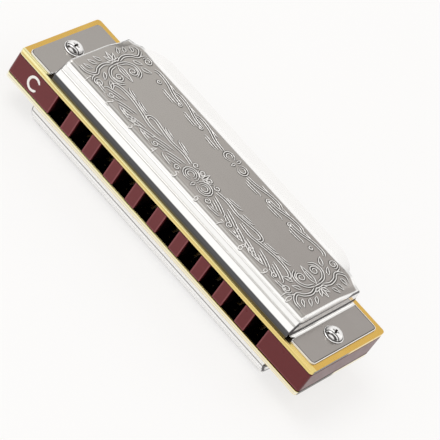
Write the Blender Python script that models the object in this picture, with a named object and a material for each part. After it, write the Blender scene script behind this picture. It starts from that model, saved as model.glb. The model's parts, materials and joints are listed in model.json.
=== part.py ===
"""Diatonic harmonica: a comb with ten chambers between two reed plates, under two sheet covers.

Units are metres. X runs along the holes, low notes at -X. -Y is the mouth side, +Y the open
back, +Z up. The origin is on the ground below the middle of the whole harmonica.
"""

import math

import bmesh
import bpy
from mathutils import Matrix

# Number of channels and the grid they lie on
HOLE_COUNT = 10
HOLE_PITCH = 0.0075
HOLE_WIDTH = 0.0045

# Comb
COMB_END_LAND = 0.0140
COMB_DEPTH = 0.028
COMB_HEIGHT = 0.0062
COMB_CORNER_RADIUS = 0.0008
COMB_EDGE_CHAMFER = 0.0003
CHAMBER_END_ROOM = 0.0010
CHAMBER_CORNER_RADIUS = 0.0009

# Reed plates
PLATE_THICKNESS = 0.0011
PLATE_CORNER_RADIUS = 0.0009
SEAT_GAP = 0.00006

# Reeds, their slots and rivets
PAD_FRONT = 0.0022
PAD_LENGTH = 0.0030
PAD_WIDTH = 0.0031
PAD_THICKNESS = 0.00035
PAD_SHOULDER = 0.0009
PAD_RAMP = 0.0005
PAD_HOLE_CLEARANCE = 0.0002
TONGUE_WIDTH = 0.0020
TONGUE_THICKNESS = 0.0002
LONGEST_TONGUE = 0.0160
SHORTEST_TONGUE = 0.0102
REED_SEAT_GAP = 0.00026
SLOT_SIDE_CLEARANCE = 0.0003
SLOT_END_CLEARANCE = 0.0004
RIVET_RADIUS = 0.0005
RIVET_HEAD_RADIUS = 0.0009
RIVET_HEAD_HEIGHT = 0.0004
RIVET_CROWN_RADIUS = 0.00056
RIVET_CROWN_HEIGHT = 0.0002
RIVET_RUNNING_GAP = 0.0002
RIVET_HOLE_CLEARANCE = 0.00006

# Covers
COVER_SHEET = 0.00045
COVER_RISE = 0.0058
FLANGE_SIDE_INSET = 0.0015
FLANGE_FRONT_INSET = 0.0013
FLANGE_BACK_INSET = 0.0018
FLANGE_CORNER_RADIUS = 0.0011
ARCH_FROM_HOLE = 0.0045
ARCH_FRONT_INSET = 0.0006
FRONT_WALL_HEIGHT = 0.0018
FRONT_SLOPE_RUN = 0.0027
FRONT_STEP_HEIGHTS = (0.0035, 0.00475)
STEP_DEPTH = 0.00012
SHOULDER_REACH = 0.0009
TOP_BACK = 0.0247
CREASE_DEPTH = 0.00045
CREASE_RUN = 0.0006
LIP_OVERHANG = 0.0016
LIP_END_INSET = 0.0051
LIP_CORNER_RADIUS = 0.0036
LIP_EDGE_DROP = 0.00005
BACK_CORNER_DROP = 0.0014
BACK_CORNER_FALL_RUN = 0.0092
END_WALL_RUN = 0.0011
END_WALL_ROUNDNESS = 0.55
FLANGE_TURN_RUN = 0.00055
NOTCH_WIDTH = 0.0009
NOTCH_DEPTH = 0.0016

# Cover screws and nuts
COVER_SCREW_FROM_ARCH = 0.0043
COVER_SCREW_SETBACK = 0.0132
COVER_SCREW_RADIUS = 0.0010
COVER_SCREW_HEAD_RADIUS = 0.0021
COVER_SCREW_HEAD_HEIGHT = 0.0011
PAN_HEAD_ROUNDNESS = 0.75
RECESS_SPAN = 0.0022
RECESS_WIDTH = 0.00055
RECESS_DEPTH = 0.00055
NUT_ACROSS_FLATS = 0.0040
NUT_HEIGHT = 0.0016
SCREW_END_PROUD = 0.0003

# Plate screws
PLATE_SCREW_RADIUS = 0.0007
PLATE_SCREW_HEAD_RADIUS = 0.0013
PLATE_SCREW_HEAD_HEIGHT = 0.0006
PLATE_SCREW_RIM_HEIGHT = 0.0003
PLATE_SCREW_CROWN_RADIUS = 0.0010
PLATE_SCREW_SLOT = 0.0003
PLATE_SCREW_SLOT_DEPTH = 0.00033
PLATE_SCREW_SLOT_ANGLE = math.radians(30)
FRONT_PLATE_SCREW_SETBACK = 0.0056
FRONT_PLATE_SCREW_FROM_HOLE = 0.0018
BACK_PLATE_SCREW_FROM_BACK = 0.0030
BACK_PLATE_SCREW_CHANNELS = 3
SCREW_HOLE_CLEARANCE = 0.00015
THREAD_CLEARANCE = 0.00006
HEAD_GAP = 0.00006

# Facets round a circle, a corner and the cover's curves
ROUND_SIDES = 24
RIVET_SIDES = 12
CORNER_STEPS = 4
HEAD_STEPS = 4
SHOULDER_STEPS = 2
TOP_STEPS = 5
END_WALL_STEPS = 6
CORNER_FALL_STEPS = 3
LIP_CORNER_STEPS = 5
SHARP_ANGLE = math.radians(30)
CUT_OVERRUN = 0.001

# Levels, from the ground up
LOWER_PLATE_BOTTOM = COVER_RISE + SEAT_GAP
LOWER_PLATE_TOP = LOWER_PLATE_BOTTOM + PLATE_THICKNESS
COMB_BOTTOM = LOWER_PLATE_TOP + SEAT_GAP
COMB_TOP = COMB_BOTTOM + COMB_HEIGHT
UPPER_PLATE_BOTTOM = COMB_TOP + SEAT_GAP
UPPER_PLATE_TOP = UPPER_PLATE_BOTTOM + PLATE_THICKNESS

# Places along one half of the length
OUTER_HOLE_EDGE = ((HOLE_COUNT - 1) * HOLE_PITCH + HOLE_WIDTH) / 2
COMB_END = OUTER_HOLE_EDGE + COMB_END_LAND
ARCH_FOOT = OUTER_HOLE_EDGE + ARCH_FROM_HOLE

# Places across the depth
FRONT = -(COMB_DEPTH + LIP_OVERHANG) / 2
BACK = FRONT + COMB_DEPTH
PIVOT = FRONT + PAD_FRONT + PAD_LENGTH
RIVET_LINE = FRONT + PAD_FRONT + PAD_LENGTH / 2
LIP_BACK = BACK + LIP_OVERHANG

COLOURS = {
    "comb": ((0.155, 0.044, 0.045), 0.28, 0.0),
    "plate": ((0.72, 0.47, 0.16), 0.26, 1.0),
    "reed": ((0.78, 0.57, 0.25), 0.22, 1.0),
    "rivet": ((0.70, 0.50, 0.22), 0.3, 1.0),
    "cover": ((0.46, 0.43, 0.41), 0.2, 1.0),
    "screw": ((0.60, 0.58, 0.55), 0.18, 1.0),
}


def material(slot):
    """A Principled material, made once for each finish."""
    found = bpy.data.materials.get(slot)
    if found:
        return found
    colour, roughness, metallic = COLOURS[slot]
    made = bpy.data.materials.new(slot)
    made.use_nodes = True
    shader = made.node_tree.nodes["Principled BSDF"]
    shader.inputs["Base Color"].default_value = (*colour, 1)
    shader.inputs["Roughness"].default_value = roughness
    shader.inputs["Metallic"].default_value = metallic
    made.diffuse_color = (*colour, 1)
    return made


def add_object(name, mesh_data, slot, place=(0, 0, 0)):
    """Turn a bmesh into a named object at its place, with its finish."""
    bmesh.ops.recalc_face_normals(mesh_data, faces=mesh_data.faces)
    mesh = bpy.data.meshes.new(name)
    mesh_data.to_mesh(mesh)
    mesh_data.free()
    made = bpy.data.objects.new(name, mesh)
    bpy.context.collection.objects.link(made)
    made.location = place
    made.data.materials.append(material(slot))
    return made


def shade_round(piece):
    piece.data.shade_smooth()
    piece.data.set_sharp_from_angle(angle=SHARP_ANGLE)


def extrude_outline(mesh_data, outline, bottom, top):
    """Add a closed prism over an outline of (x, y) points."""
    base = [mesh_data.verts.new((x, y, bottom)) for x, y in outline]
    face = mesh_data.faces.new(base)
    raised = bmesh.ops.extrude_face_region(mesh_data, geom=[face])["geom"]
    moved = [item for item in raised if isinstance(item, bmesh.types.BMVert)]
    bmesh.ops.translate(mesh_data, verts=moved, vec=(0, 0, top - bottom))


def rounded_rectangle(left, right, front, back, radius, steps=CORNER_STEPS):
    """Points of a rectangle with round corners, anticlockwise."""
    centres = (
        (right - radius, back - radius, 0),
        (left + radius, back - radius, 90),
        (left + radius, front + radius, 180),
        (right - radius, front + radius, 270),
    )
    points = []
    for x, y, start in centres:
        for step in range(steps + 1):
            angle = math.radians(start + 90 * step / steps)
            points.append((x + radius * math.cos(angle), y + radius * math.sin(angle)))
    return points


def circle(x, y, radius, sides=ROUND_SIDES):
    turn = math.pi / sides
    return [
        (x + radius * math.cos(2 * turn * i + turn), y + radius * math.sin(2 * turn * i + turn))
        for i in range(sides)
    ]


def add_cutter(name, prisms):
    """One hidden object that holds every prism (outline, bottom, top) of a cut."""
    shape = bmesh.new()
    for outline, bottom, top in prisms:
        extrude_outline(shape, outline, bottom, top)
    cutter = add_object(name, shape, "screw")
    cutter.hide_render = True
    cutter.display_type = "WIRE"
    return cutter


def cut(piece, cutter):
    modifier = piece.modifiers.new("cut_" + cutter.name, "BOOLEAN")
    modifier.operation = "DIFFERENCE"
    modifier.solver = "EXACT"
    modifier.object = cutter


def revolve(profile, sides):
    """A solid turned about Z from (radius, height) points that start and end on the axis."""
    shape = bmesh.new()
    rings = []
    for radius, height in profile:
        if radius == 0:
            rings.append([shape.verts.new((0, 0, height))])
        else:
            rings.append([shape.verts.new((x, y, height)) for x, y in circle(0, 0, radius, sides)])
    for lower, upper in zip(rings, rings[1:]):
        for i in range(sides):
            j = (i + 1) % sides
            corners = [lower[i % len(lower)], lower[j % len(lower)]]
            corners += [upper[j % len(upper)], upper[i % len(upper)]]
            distinct = list(dict.fromkeys(corners))
            shape.faces.new(distinct)
    return shape


def hole_centre(index):
    return (index - (HOLE_COUNT - 1) / 2) * HOLE_PITCH


def tongue_length(index):
    """Reeds get shorter in even steps from the low notes to the high ones."""
    share = index / (HOLE_COUNT - 1)
    return LONGEST_TONGUE + (SHORTEST_TONGUE - LONGEST_TONGUE) * share


def cover_screw_places():
    x = ARCH_FOOT + COVER_SCREW_FROM_ARCH
    y = FRONT + COVER_SCREW_SETBACK
    return [(-x, y), (x, y)]


def plate_screw_places():
    """Two screws beside the outer holes, and three along the back between the channels."""
    outer = OUTER_HOLE_EDGE + FRONT_PLATE_SCREW_FROM_HOLE
    front_y = FRONT + FRONT_PLATE_SCREW_SETBACK
    back_y = BACK - BACK_PLATE_SCREW_FROM_BACK
    reach = BACK_PLATE_SCREW_CHANNELS * HOLE_PITCH
    return [(-outer, front_y), (outer, front_y), (-reach, back_y), (0, back_y), (reach, back_y)]


def chamber_outline(index):
    """A mouth hole and the chamber behind it, seen from above, open at the front."""
    x = hole_centre(index)
    half = HOLE_WIDTH / 2
    end = PIVOT + tongue_length(index) + SLOT_END_CLEARANCE + CHAMBER_END_ROOM
    radius = CHAMBER_CORNER_RADIUS
    outline = [(x - half, FRONT - CUT_OVERRUN), (x + half, FRONT - CUT_OVERRUN)]
    for step in range(CORNER_STEPS + 1):
        angle = math.pi / 2 * step / CORNER_STEPS
        corner_x = x + half - radius + radius * math.cos(angle)
        outline.append((corner_x, end - radius + radius * math.sin(angle)))
    for step in range(CORNER_STEPS + 1):
        angle = math.pi / 2 + math.pi / 2 * step / CORNER_STEPS
        corner_x = x - half + radius + radius * math.cos(angle)
        outline.append((corner_x, end - radius + radius * math.sin(angle)))
    return outline


def make_comb():
    shape = bmesh.new()
    outline = rounded_rectangle(-COMB_END, COMB_END, FRONT, BACK, COMB_CORNER_RADIUS)
    extrude_outline(shape, outline, COMB_BOTTOM, COMB_TOP)
    rims = [
        edge
        for edge in shape.edges
        if abs(edge.verts[0].co.z - edge.verts[1].co.z) < COMB_EDGE_CHAMFER / 2
    ]
    bmesh.ops.bevel(shape, geom=rims, offset=COMB_EDGE_CHAMFER, segments=1, affect="EDGES")
    comb = add_object("comb", shape, "comb")
    low = COMB_BOTTOM - CUT_OVERRUN
    high = COMB_TOP + CUT_OVERRUN
    prisms = [(chamber_outline(i), low, high) for i in range(HOLE_COUNT)]
    for x, y in cover_screw_places():
        prisms.append((circle(x, y, COVER_SCREW_RADIUS + SCREW_HOLE_CLEARANCE), low, high))
    for x, y in plate_screw_places():
        prisms.append((circle(x, y, PLATE_SCREW_RADIUS + SCREW_HOLE_CLEARANCE), low, high))
    cut(comb, add_cutter("comb_cutter", prisms))


def make_plate(name, bottom, plate_screw_hole):
    shape = bmesh.new()
    outline = rounded_rectangle(-COMB_END, COMB_END, FRONT, BACK, PLATE_CORNER_RADIUS)
    extrude_outline(shape, outline, bottom, bottom + PLATE_THICKNESS)
    plate = add_object(name, shape, "plate")
    low = bottom - CUT_OVERRUN
    high = bottom + PLATE_THICKNESS + CUT_OVERRUN
    slot_half = TONGUE_WIDTH / 2 + SLOT_SIDE_CLEARANCE
    prisms = []
    for i in range(HOLE_COUNT):
        x = hole_centre(i)
        slot_end = PIVOT + tongue_length(i) + SLOT_END_CLEARANCE
        corners = [(x - slot_half, PIVOT), (x + slot_half, PIVOT)]
        corners += [(x + slot_half, slot_end), (x - slot_half, slot_end)]
        prisms.append((corners, low, high))
        rivet_hole = circle(x, RIVET_LINE, RIVET_RADIUS + RIVET_HOLE_CLEARANCE, RIVET_SIDES)
        prisms.append((rivet_hole, low, high))
    for x, y in cover_screw_places():
        prisms.append((circle(x, y, COVER_SCREW_RADIUS + SCREW_HOLE_CLEARANCE), low, high))
    for x, y in plate_screw_places():
        prisms.append((circle(x, y, plate_screw_hole), low, high))
    cut(plate, add_cutter(name + "_cutter", prisms))


def make_reed(name, index, plate_face):
    """A reed below a plate's lower face: a riveted pad, and a tongue that swings on the pivot.

    Its origin is on the hinge line, where the tongue leaves the pad.
    """
    half_pad = PAD_WIDTH / 2
    half_tongue = TONGUE_WIDTH / 2
    top = plate_face - REED_SEAT_GAP
    hinge_level = top - TONGUE_THICKNESS / 2
    upper = TONGUE_THICKNESS / 2
    pad_lower = upper - PAD_THICKNESS
    stations = [
        (-PAD_LENGTH, half_pad, pad_lower),
        (-PAD_SHOULDER, half_pad, pad_lower),
        (0, half_tongue, pad_lower),
        (PAD_RAMP, half_tongue, -upper),
        (tongue_length(index), half_tongue, -upper),
    ]
    shape = bmesh.new()
    rings = []
    for y, half, lower in stations:
        corners = [(-half, y, lower), (half, y, lower), (half, y, upper), (-half, y, upper)]
        rings.append([shape.verts.new(corner) for corner in corners])
    for near, far in zip(rings, rings[1:]):
        for i in range(4):
            j = (i + 1) % 4
            shape.faces.new([near[i], near[j], far[j], far[i]])
    shape.faces.new(rings[0])
    shape.faces.new(rings[-1])
    reed = add_object(name, shape, "reed", (hole_centre(index), PIVOT, hinge_level))
    hole_radius = RIVET_RADIUS + PAD_HOLE_CLEARANCE
    rivet_hole = circle(0, -PAD_LENGTH / 2, hole_radius, RIVET_SIDES)
    cutter = add_cutter(name + "_cutter", [(rivet_hole, -CUT_OVERRUN, CUT_OVERRUN)])
    cutter.parent = reed
    cut(reed, cutter)


def make_rivet(name, index, plate_face):
    """A rivet from the far face of the plate, through the plate and the reed's pad."""
    head_top = plate_face - REED_SEAT_GAP - PAD_THICKNESS - RIVET_RUNNING_GAP
    tail = plate_face + PLATE_THICKNESS
    crown = head_top - RIVET_HEAD_HEIGHT
    profile = [
        (0, crown),
        (RIVET_CROWN_RADIUS, crown),
        (RIVET_HEAD_RADIUS, crown + RIVET_CROWN_HEIGHT),
        (RIVET_HEAD_RADIUS, head_top),
        (RIVET_RADIUS, head_top),
        (RIVET_RADIUS, tail),
        (0, tail),
    ]
    shape = revolve([(r, z - plate_face) for r, z in profile], RIVET_SIDES)
    place = (hole_centre(index), RIVET_LINE, plate_face)
    shade_round(add_object(name, shape, "rivet", place))


def smooth_share(value):
    value = min(max(value, 0), 1)
    return value * value * (3 - 2 * value)


def arch_share(from_end):
    """How much of its rise the arch has reached, at a distance in from its foot."""
    share = min(max(from_end / END_WALL_RUN, 0), 1)
    return math.sin(math.pi / 2 * share) ** END_WALL_ROUNDNESS


def lip_share(from_end):
    """How far the lip reaches out, at a distance in from the arch's foot: its corners are round."""
    along = min(max((from_end - LIP_END_INSET) / LIP_CORNER_RADIUS, 0), 1)
    return math.sqrt(1 - (1 - along) ** 2)


def front_slope(arch_front):
    """The cover's front from its foot to its shoulder: an upright wall, then a stepped slope."""
    slope_rise = COVER_RISE - FRONT_WALL_HEIGHT
    points = [(arch_front, 0.0), (arch_front, FRONT_WALL_HEIGHT)]
    for height in FRONT_STEP_HEIGHTS:
        y = arch_front + FRONT_SLOPE_RUN * (height - FRONT_WALL_HEIGHT) / slope_rise
        points.append((y - STEP_DEPTH, height - STEP_DEPTH))
        points.append((y + STEP_DEPTH, height))
    corner_y = arch_front + FRONT_SLOPE_RUN
    share = SHOULDER_REACH / math.hypot(FRONT_SLOPE_RUN, slope_rise)
    for step in range(SHOULDER_STEPS + 1):
        along = step / SHOULDER_STEPS
        back = share * (1 - along) ** 2
        y = corner_y - FRONT_SLOPE_RUN * back + SHOULDER_REACH * along**2
        points.append((y, COVER_RISE - slope_rise * back))
    return points


def cover_section(x):
    """The (y, rise) points of a cover's outer surface at x, from its front foot to its back edge."""
    from_end = ARCH_FOOT - abs(x)
    section = front_slope(FRONT + ARCH_FRONT_INSET)
    top_front = section[-1][0]
    top_back = FRONT + TOP_BACK
    inner_share = (from_end - END_WALL_RUN) / (LIP_END_INSET - END_WALL_RUN)
    corner_fall = BACK_CORNER_DROP * (1 - smooth_share(inner_share))
    for step in range(1, TOP_STEPS + 1):
        y = top_front + (top_back - top_front) * step / TOP_STEPS
        fall = corner_fall * smooth_share(1 - (top_back - y) / BACK_CORNER_FALL_RUN)
        section.append((y, COVER_RISE - fall))
    out = lip_share(from_end)
    crease_back = top_back + CREASE_RUN
    lip_run = max((LIP_BACK - crease_back) * out, COVER_SHEET)
    section.append((crease_back, COVER_RISE - corner_fall - CREASE_DEPTH * out))
    section.append((crease_back + lip_run, COVER_RISE - corner_fall - LIP_EDGE_DROP))

    flange_front = FRONT + FLANGE_FRONT_INSET
    flange_back = BACK - FLANGE_BACK_INSET
    spread = smooth_share((from_end + FLANGE_TURN_RUN) / (2 * FLANGE_TURN_RUN))
    raised = arch_share(from_end)
    shaped = []
    for i, (y, z) in enumerate(section):
        flat_y = flange_front + (flange_back - flange_front) * i / (len(section) - 1)
        shaped.append((flat_y + (y - flat_y) * spread, COVER_SHEET + (z - COVER_SHEET) * raised))
    return shaped


def cover_stations():
    """The x places of the sections of one half, from the flange's end to the lip's full reach."""
    stations = [COMB_END - FLANGE_SIDE_INSET, ARCH_FOOT + FLANGE_TURN_RUN]
    for step in range(END_WALL_STEPS + 1):
        stations.append(ARCH_FOOT - END_WALL_RUN * (step / END_WALL_STEPS) ** 2)
    for step in range(1, CORNER_FALL_STEPS + 1):
        fall_run = (LIP_END_INSET - END_WALL_RUN) * step / CORNER_FALL_STEPS
        stations.append(ARCH_FOOT - END_WALL_RUN - fall_run)
    for step in range(1, LIP_CORNER_STEPS + 1):
        turn = math.pi / 2 * step / LIP_CORNER_STEPS
        stations.append(ARCH_FOOT - LIP_END_INSET - LIP_CORNER_RADIUS * (1 - math.cos(turn)))
    return stations


def make_cover(name, upward):
    """A cover pressed from one sheet: flat ends, an arch between them and a lip at the back."""
    half = cover_stations()
    stations = [-x for x in half] + [0.0] + half[::-1]
    base = UPPER_PLATE_TOP + SEAT_GAP if upward else LOWER_PLATE_BOTTOM - SEAT_GAP
    sign = 1 if upward else -1
    shape = bmesh.new()
    rows = []
    for x in stations:
        rows.append([shape.verts.new((x, y, sign * z)) for y, z in cover_section(x)])
    for near, far in zip(rows, rows[1:]):
        for i in range(len(near) - 1):
            corners = [near[i], far[i], far[i + 1], near[i + 1]]
            shape.faces.new(corners if upward else corners[::-1])
    cover = add_sheet(name, shape, base)
    low = -CUT_OVERRUN
    high = COVER_SHEET + CUT_OVERRUN
    prisms = cover_trim()
    for x, y in cover_screw_places():
        prisms.append((circle(x, y, COVER_SCREW_RADIUS + SCREW_HOLE_CLEARANCE), low, high))
    signed = [(outline, min(sign * a, sign * b), max(sign * a, sign * b)) for outline, a, b in prisms]
    cutter = add_cutter(name + "_cutter", signed)
    cutter.location.z = base
    cut(cover, cutter)
    shade_round(cover)


def add_sheet(name, shape, base):
    """An open sheet as an object at its level, with its thickness laid on the inside."""
    mesh = bpy.data.meshes.new(name)
    shape.to_mesh(mesh)
    shape.free()
    sheet = bpy.data.objects.new(name, mesh)
    bpy.context.collection.objects.link(sheet)
    sheet.location.z = base
    sheet.data.materials.append(material("cover"))
    solidify = sheet.modifiers.new("sheet_thickness", "SOLIDIFY")
    solidify.thickness = COVER_SHEET
    solidify.offset = -1
    solidify.use_even_offset = True
    return sheet


def cover_trim():
    """Cuts that round a cover's four flange corners and open the notch beside each front end."""
    end = COMB_END - FLANGE_SIDE_INSET
    front = FRONT + FLANGE_FRONT_INSET
    back = BACK - FLANGE_BACK_INSET
    radius = FLANGE_CORNER_RADIUS
    low = -CUT_OVERRUN
    high = COVER_SHEET + CUT_OVERRUN
    prisms = []
    for side in (-1, 1):
        for edge_y, inward in ((front, 1), (back, -1)):
            centre = (side * (end - radius), edge_y + inward * radius)
            outer_x = side * (end + CUT_OVERRUN)
            outer_y = edge_y - inward * CUT_OVERRUN
            arc = []
            for step in range(CORNER_STEPS + 1):
                angle = math.pi / 2 * step / CORNER_STEPS
                arc_x = centre[0] + side * radius * math.cos(angle)
                arc_y = centre[1] - inward * radius * math.sin(angle)
                arc.append((arc_x, arc_y))
            corner = [(outer_x, centre[1])] + arc + [(centre[0], outer_y), (outer_x, outer_y)]
            prisms.append((corner, low, high))
        foot = side * ARCH_FOOT
        notch_out = foot + side * NOTCH_WIDTH
        outline = [
            (foot, FRONT - CUT_OVERRUN),
            (notch_out, FRONT - CUT_OVERRUN),
            (notch_out, front + NOTCH_DEPTH - NOTCH_WIDTH / 2),
            (foot + side * NOTCH_WIDTH / 2, front + NOTCH_DEPTH),
            (foot, front + NOTCH_DEPTH),
        ]
        prisms.append((outline, low, high))
    return prisms


def make_cover_screw(name, place):
    """A pan-head screw through both covers, both plates and the comb."""
    seat = UPPER_PLATE_TOP + SEAT_GAP + COVER_SHEET + HEAD_GAP
    end = LOWER_PLATE_BOTTOM - SEAT_GAP - COVER_SHEET - HEAD_GAP - NUT_HEIGHT - SCREW_END_PROUD
    radius = COVER_SCREW_HEAD_RADIUS
    height = COVER_SCREW_HEAD_HEIGHT
    profile = [(0, end), (COVER_SCREW_RADIUS, end), (COVER_SCREW_RADIUS, seat), (radius, seat)]
    for step in range(1, HEAD_STEPS + 1):
        angle = math.pi / 2 * step / (HEAD_STEPS + 1)
        ring = radius * math.cos(angle) ** PAN_HEAD_ROUNDNESS
        profile.append((ring, seat + height * math.sin(angle) ** PAN_HEAD_ROUNDNESS))
    profile.append((0, seat + height))
    shape = revolve([(r, z - seat) for r, z in profile], ROUND_SIDES)
    screw = add_object(name, shape, "screw", (*place, seat))
    arm = RECESS_SPAN / 2
    width = RECESS_WIDTH / 2
    cross = [
        (arm, -width),
        (arm, width),
        (width, width),
        (width, arm),
        (-width, arm),
        (-width, width),
        (-arm, width),
        (-arm, -width),
        (-width, -width),
        (-width, -arm),
        (width, -arm),
        (width, -width),
    ]
    cutter = add_cutter(name + "_cutter", [(cross, height - RECESS_DEPTH, height + CUT_OVERRUN)])
    cutter.parent = screw
    cut(screw, cutter)
    shade_round(screw)


def make_nut(name, place):
    """A hexagon nut under the lower cover's flat end."""
    top = LOWER_PLATE_BOTTOM - SEAT_GAP - COVER_SHEET - HEAD_GAP
    corner = NUT_ACROSS_FLATS / math.sqrt(3)
    shape = bmesh.new()
    extrude_outline(shape, circle(0, 0, corner, 6), -NUT_HEIGHT, 0)
    nut = add_object(name, shape, "screw", (*place, top))
    bore = circle(0, 0, COVER_SCREW_RADIUS + THREAD_CLEARANCE)
    cutter = add_cutter(name + "_cutter", [(bore, -NUT_HEIGHT - CUT_OVERRUN, CUT_OVERRUN)])
    cutter.parent = nut
    cut(nut, cutter)


def make_plate_screw(name, place):
    """A slotted screw through the upper plate and the comb into the lower plate."""
    seat = UPPER_PLATE_TOP + HEAD_GAP
    end = LOWER_PLATE_BOTTOM
    radius = PLATE_SCREW_HEAD_RADIUS
    height = PLATE_SCREW_HEAD_HEIGHT
    profile = [
        (0, end - seat),
        (PLATE_SCREW_RADIUS, end - seat),
        (PLATE_SCREW_RADIUS, 0),
        (radius, 0),
        (radius, PLATE_SCREW_RIM_HEIGHT),
        (PLATE_SCREW_CROWN_RADIUS, height),
        (0, height),
    ]
    screw = add_object(name, revolve(profile, ROUND_SIDES), "screw", (*place, seat))
    half = PLATE_SCREW_SLOT / 2
    reach = radius + CUT_OVERRUN
    slot = [(-reach, -half), (reach, -half), (reach, half), (-reach, half)]
    floor = height - PLATE_SCREW_SLOT_DEPTH
    cutter = add_cutter(name + "_cutter", [(slot, floor, height + CUT_OVERRUN)])
    cutter.parent = screw
    cutter.matrix_local = Matrix.Rotation(PLATE_SCREW_SLOT_ANGLE, 4, "Z")
    cut(screw, cutter)
    shade_round(screw)


def main():
    for old in list(bpy.data.objects):
        bpy.data.objects.remove(old, do_unlink=True)
    make_comb()
    make_plate("upper_reed_plate", UPPER_PLATE_BOTTOM, PLATE_SCREW_RADIUS + SCREW_HOLE_CLEARANCE)
    make_plate("lower_reed_plate", LOWER_PLATE_BOTTOM, PLATE_SCREW_RADIUS + THREAD_CLEARANCE)
    for i in range(HOLE_COUNT):
        make_reed(f"blow_reed_{i + 1}", i, UPPER_PLATE_BOTTOM)
        make_rivet(f"blow_rivet_{i + 1}", i, UPPER_PLATE_BOTTOM)
        make_reed(f"draw_reed_{i + 1}", i, LOWER_PLATE_BOTTOM)
        make_rivet(f"draw_rivet_{i + 1}", i, LOWER_PLATE_BOTTOM)
    make_cover("upper_cover", True)
    make_cover("lower_cover", False)
    for side, place in zip(("left", "right"), cover_screw_places()):
        make_cover_screw(f"{side}_cover_screw", place)
        make_nut(f"{side}_cover_nut", place)
    for i, place in enumerate(plate_screw_places()):
        make_plate_screw(f"plate_screw_{i + 1}", place)


main()
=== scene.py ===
"""Looks of a ten-hole diatonic harmonica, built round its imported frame.

Lengths are written in millimetres, and become metres where a mesh is made. X runs along the
holes from the low notes to the high ones, -Y is the mouth side and +Z is up.
"""

import json
import math
from types import SimpleNamespace

import bpy
from mathutils import Matrix, Vector


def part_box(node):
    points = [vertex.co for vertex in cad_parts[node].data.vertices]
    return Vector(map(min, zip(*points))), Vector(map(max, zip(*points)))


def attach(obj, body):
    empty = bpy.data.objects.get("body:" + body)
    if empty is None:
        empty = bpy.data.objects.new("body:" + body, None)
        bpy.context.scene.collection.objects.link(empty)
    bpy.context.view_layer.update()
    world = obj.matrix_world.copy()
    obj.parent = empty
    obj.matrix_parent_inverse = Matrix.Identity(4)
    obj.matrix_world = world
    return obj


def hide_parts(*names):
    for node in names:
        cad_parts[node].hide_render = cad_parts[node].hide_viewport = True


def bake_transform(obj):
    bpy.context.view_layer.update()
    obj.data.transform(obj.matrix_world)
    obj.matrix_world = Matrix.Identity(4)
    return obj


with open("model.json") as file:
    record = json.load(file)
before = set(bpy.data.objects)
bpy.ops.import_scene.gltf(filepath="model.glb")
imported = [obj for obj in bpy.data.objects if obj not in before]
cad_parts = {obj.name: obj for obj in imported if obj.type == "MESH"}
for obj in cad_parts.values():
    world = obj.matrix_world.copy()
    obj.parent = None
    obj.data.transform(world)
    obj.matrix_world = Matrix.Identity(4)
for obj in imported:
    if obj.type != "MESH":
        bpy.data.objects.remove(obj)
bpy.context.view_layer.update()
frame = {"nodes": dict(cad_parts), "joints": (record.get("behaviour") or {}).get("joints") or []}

MM = 0.001
HOLES = 10
BODY = "root"


def box_mm(node):
    """A node's lowest and highest corners, in millimetres."""
    low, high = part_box(node)
    return low / MM, high / MM


# Levels and edges of the frame
upper_plate_low, upper_plate_high = box_mm("upper_reed_plate")
lower_plate_low, lower_plate_high = box_mm("lower_reed_plate")
comb_low, comb_high = box_mm("comb")
cover_low, cover_high = box_mm("upper_cover")
FRONT = upper_plate_low.y
BACK = upper_plate_high.y
COMB_END = upper_plate_high.x
UPPER_SEAT = cover_low.z
LOWER_SEAT = box_mm("lower_cover")[1].z
COVER_TOP = cover_high.z
RISE = COVER_TOP - UPPER_SEAT
MIDDLE_LEVEL = (UPPER_SEAT + LOWER_SEAT) / 2
HOLE_PITCH = 7.5
CLAMP_GAP = 0.06
PLATE_SCREWS = 5

# Cover sheet, measured from the plate's front edge and from the sheet's seat
SHEET = 0.45
FLANGE_SIDE = 1.5
FLANGE_FRONT = 1.3
FLANGE_BACK = BACK - FRONT - 1.8
FLANGE_CORNER = 1.1
ARCH_FOOT = COMB_END - 9.5
ARCH_FRONT = 0.6
WALL_HEIGHT = 1.8
WALL_BEND = 0.15
SLOPE_RUN = 2.7
LEDGE_HEIGHTS = (3.5, 4.75)
LEDGE = 0.12
LEDGE_BEND = 0.05
SHOULDER = 0.85
TOP_BACK = 24.7
TOP_BEND = 0.2
CREASE_RUN = 0.6
CREASE_DEPTH = 0.45
CREASE_BEND = 0.25
LIP_BACK = 29.6
LIP_EDGE_DROP = 0.05
LIP_INSET = 5.1
LIP_CORNER = 6.0
LIP_CORNER_POWER = 1.6
CORNER_DROP = 1.4
CORNER_FALL_RUN = 9.2
END_LEAN = 0.35
END_RUN = 2.0
FOOT_FILLET = 0.6
END_SHOULDER = 0.9
NOTCH_INNER = ARCH_FOOT - 0.6
NOTCH_OUTER = ARCH_FOOT + FOOT_FILLET
NOTCH_CORNER = 0.6
NOTCH_HEIGHTS = (0.5, 1.0, 1.4)
RIM_BEVEL = 0.12

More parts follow.
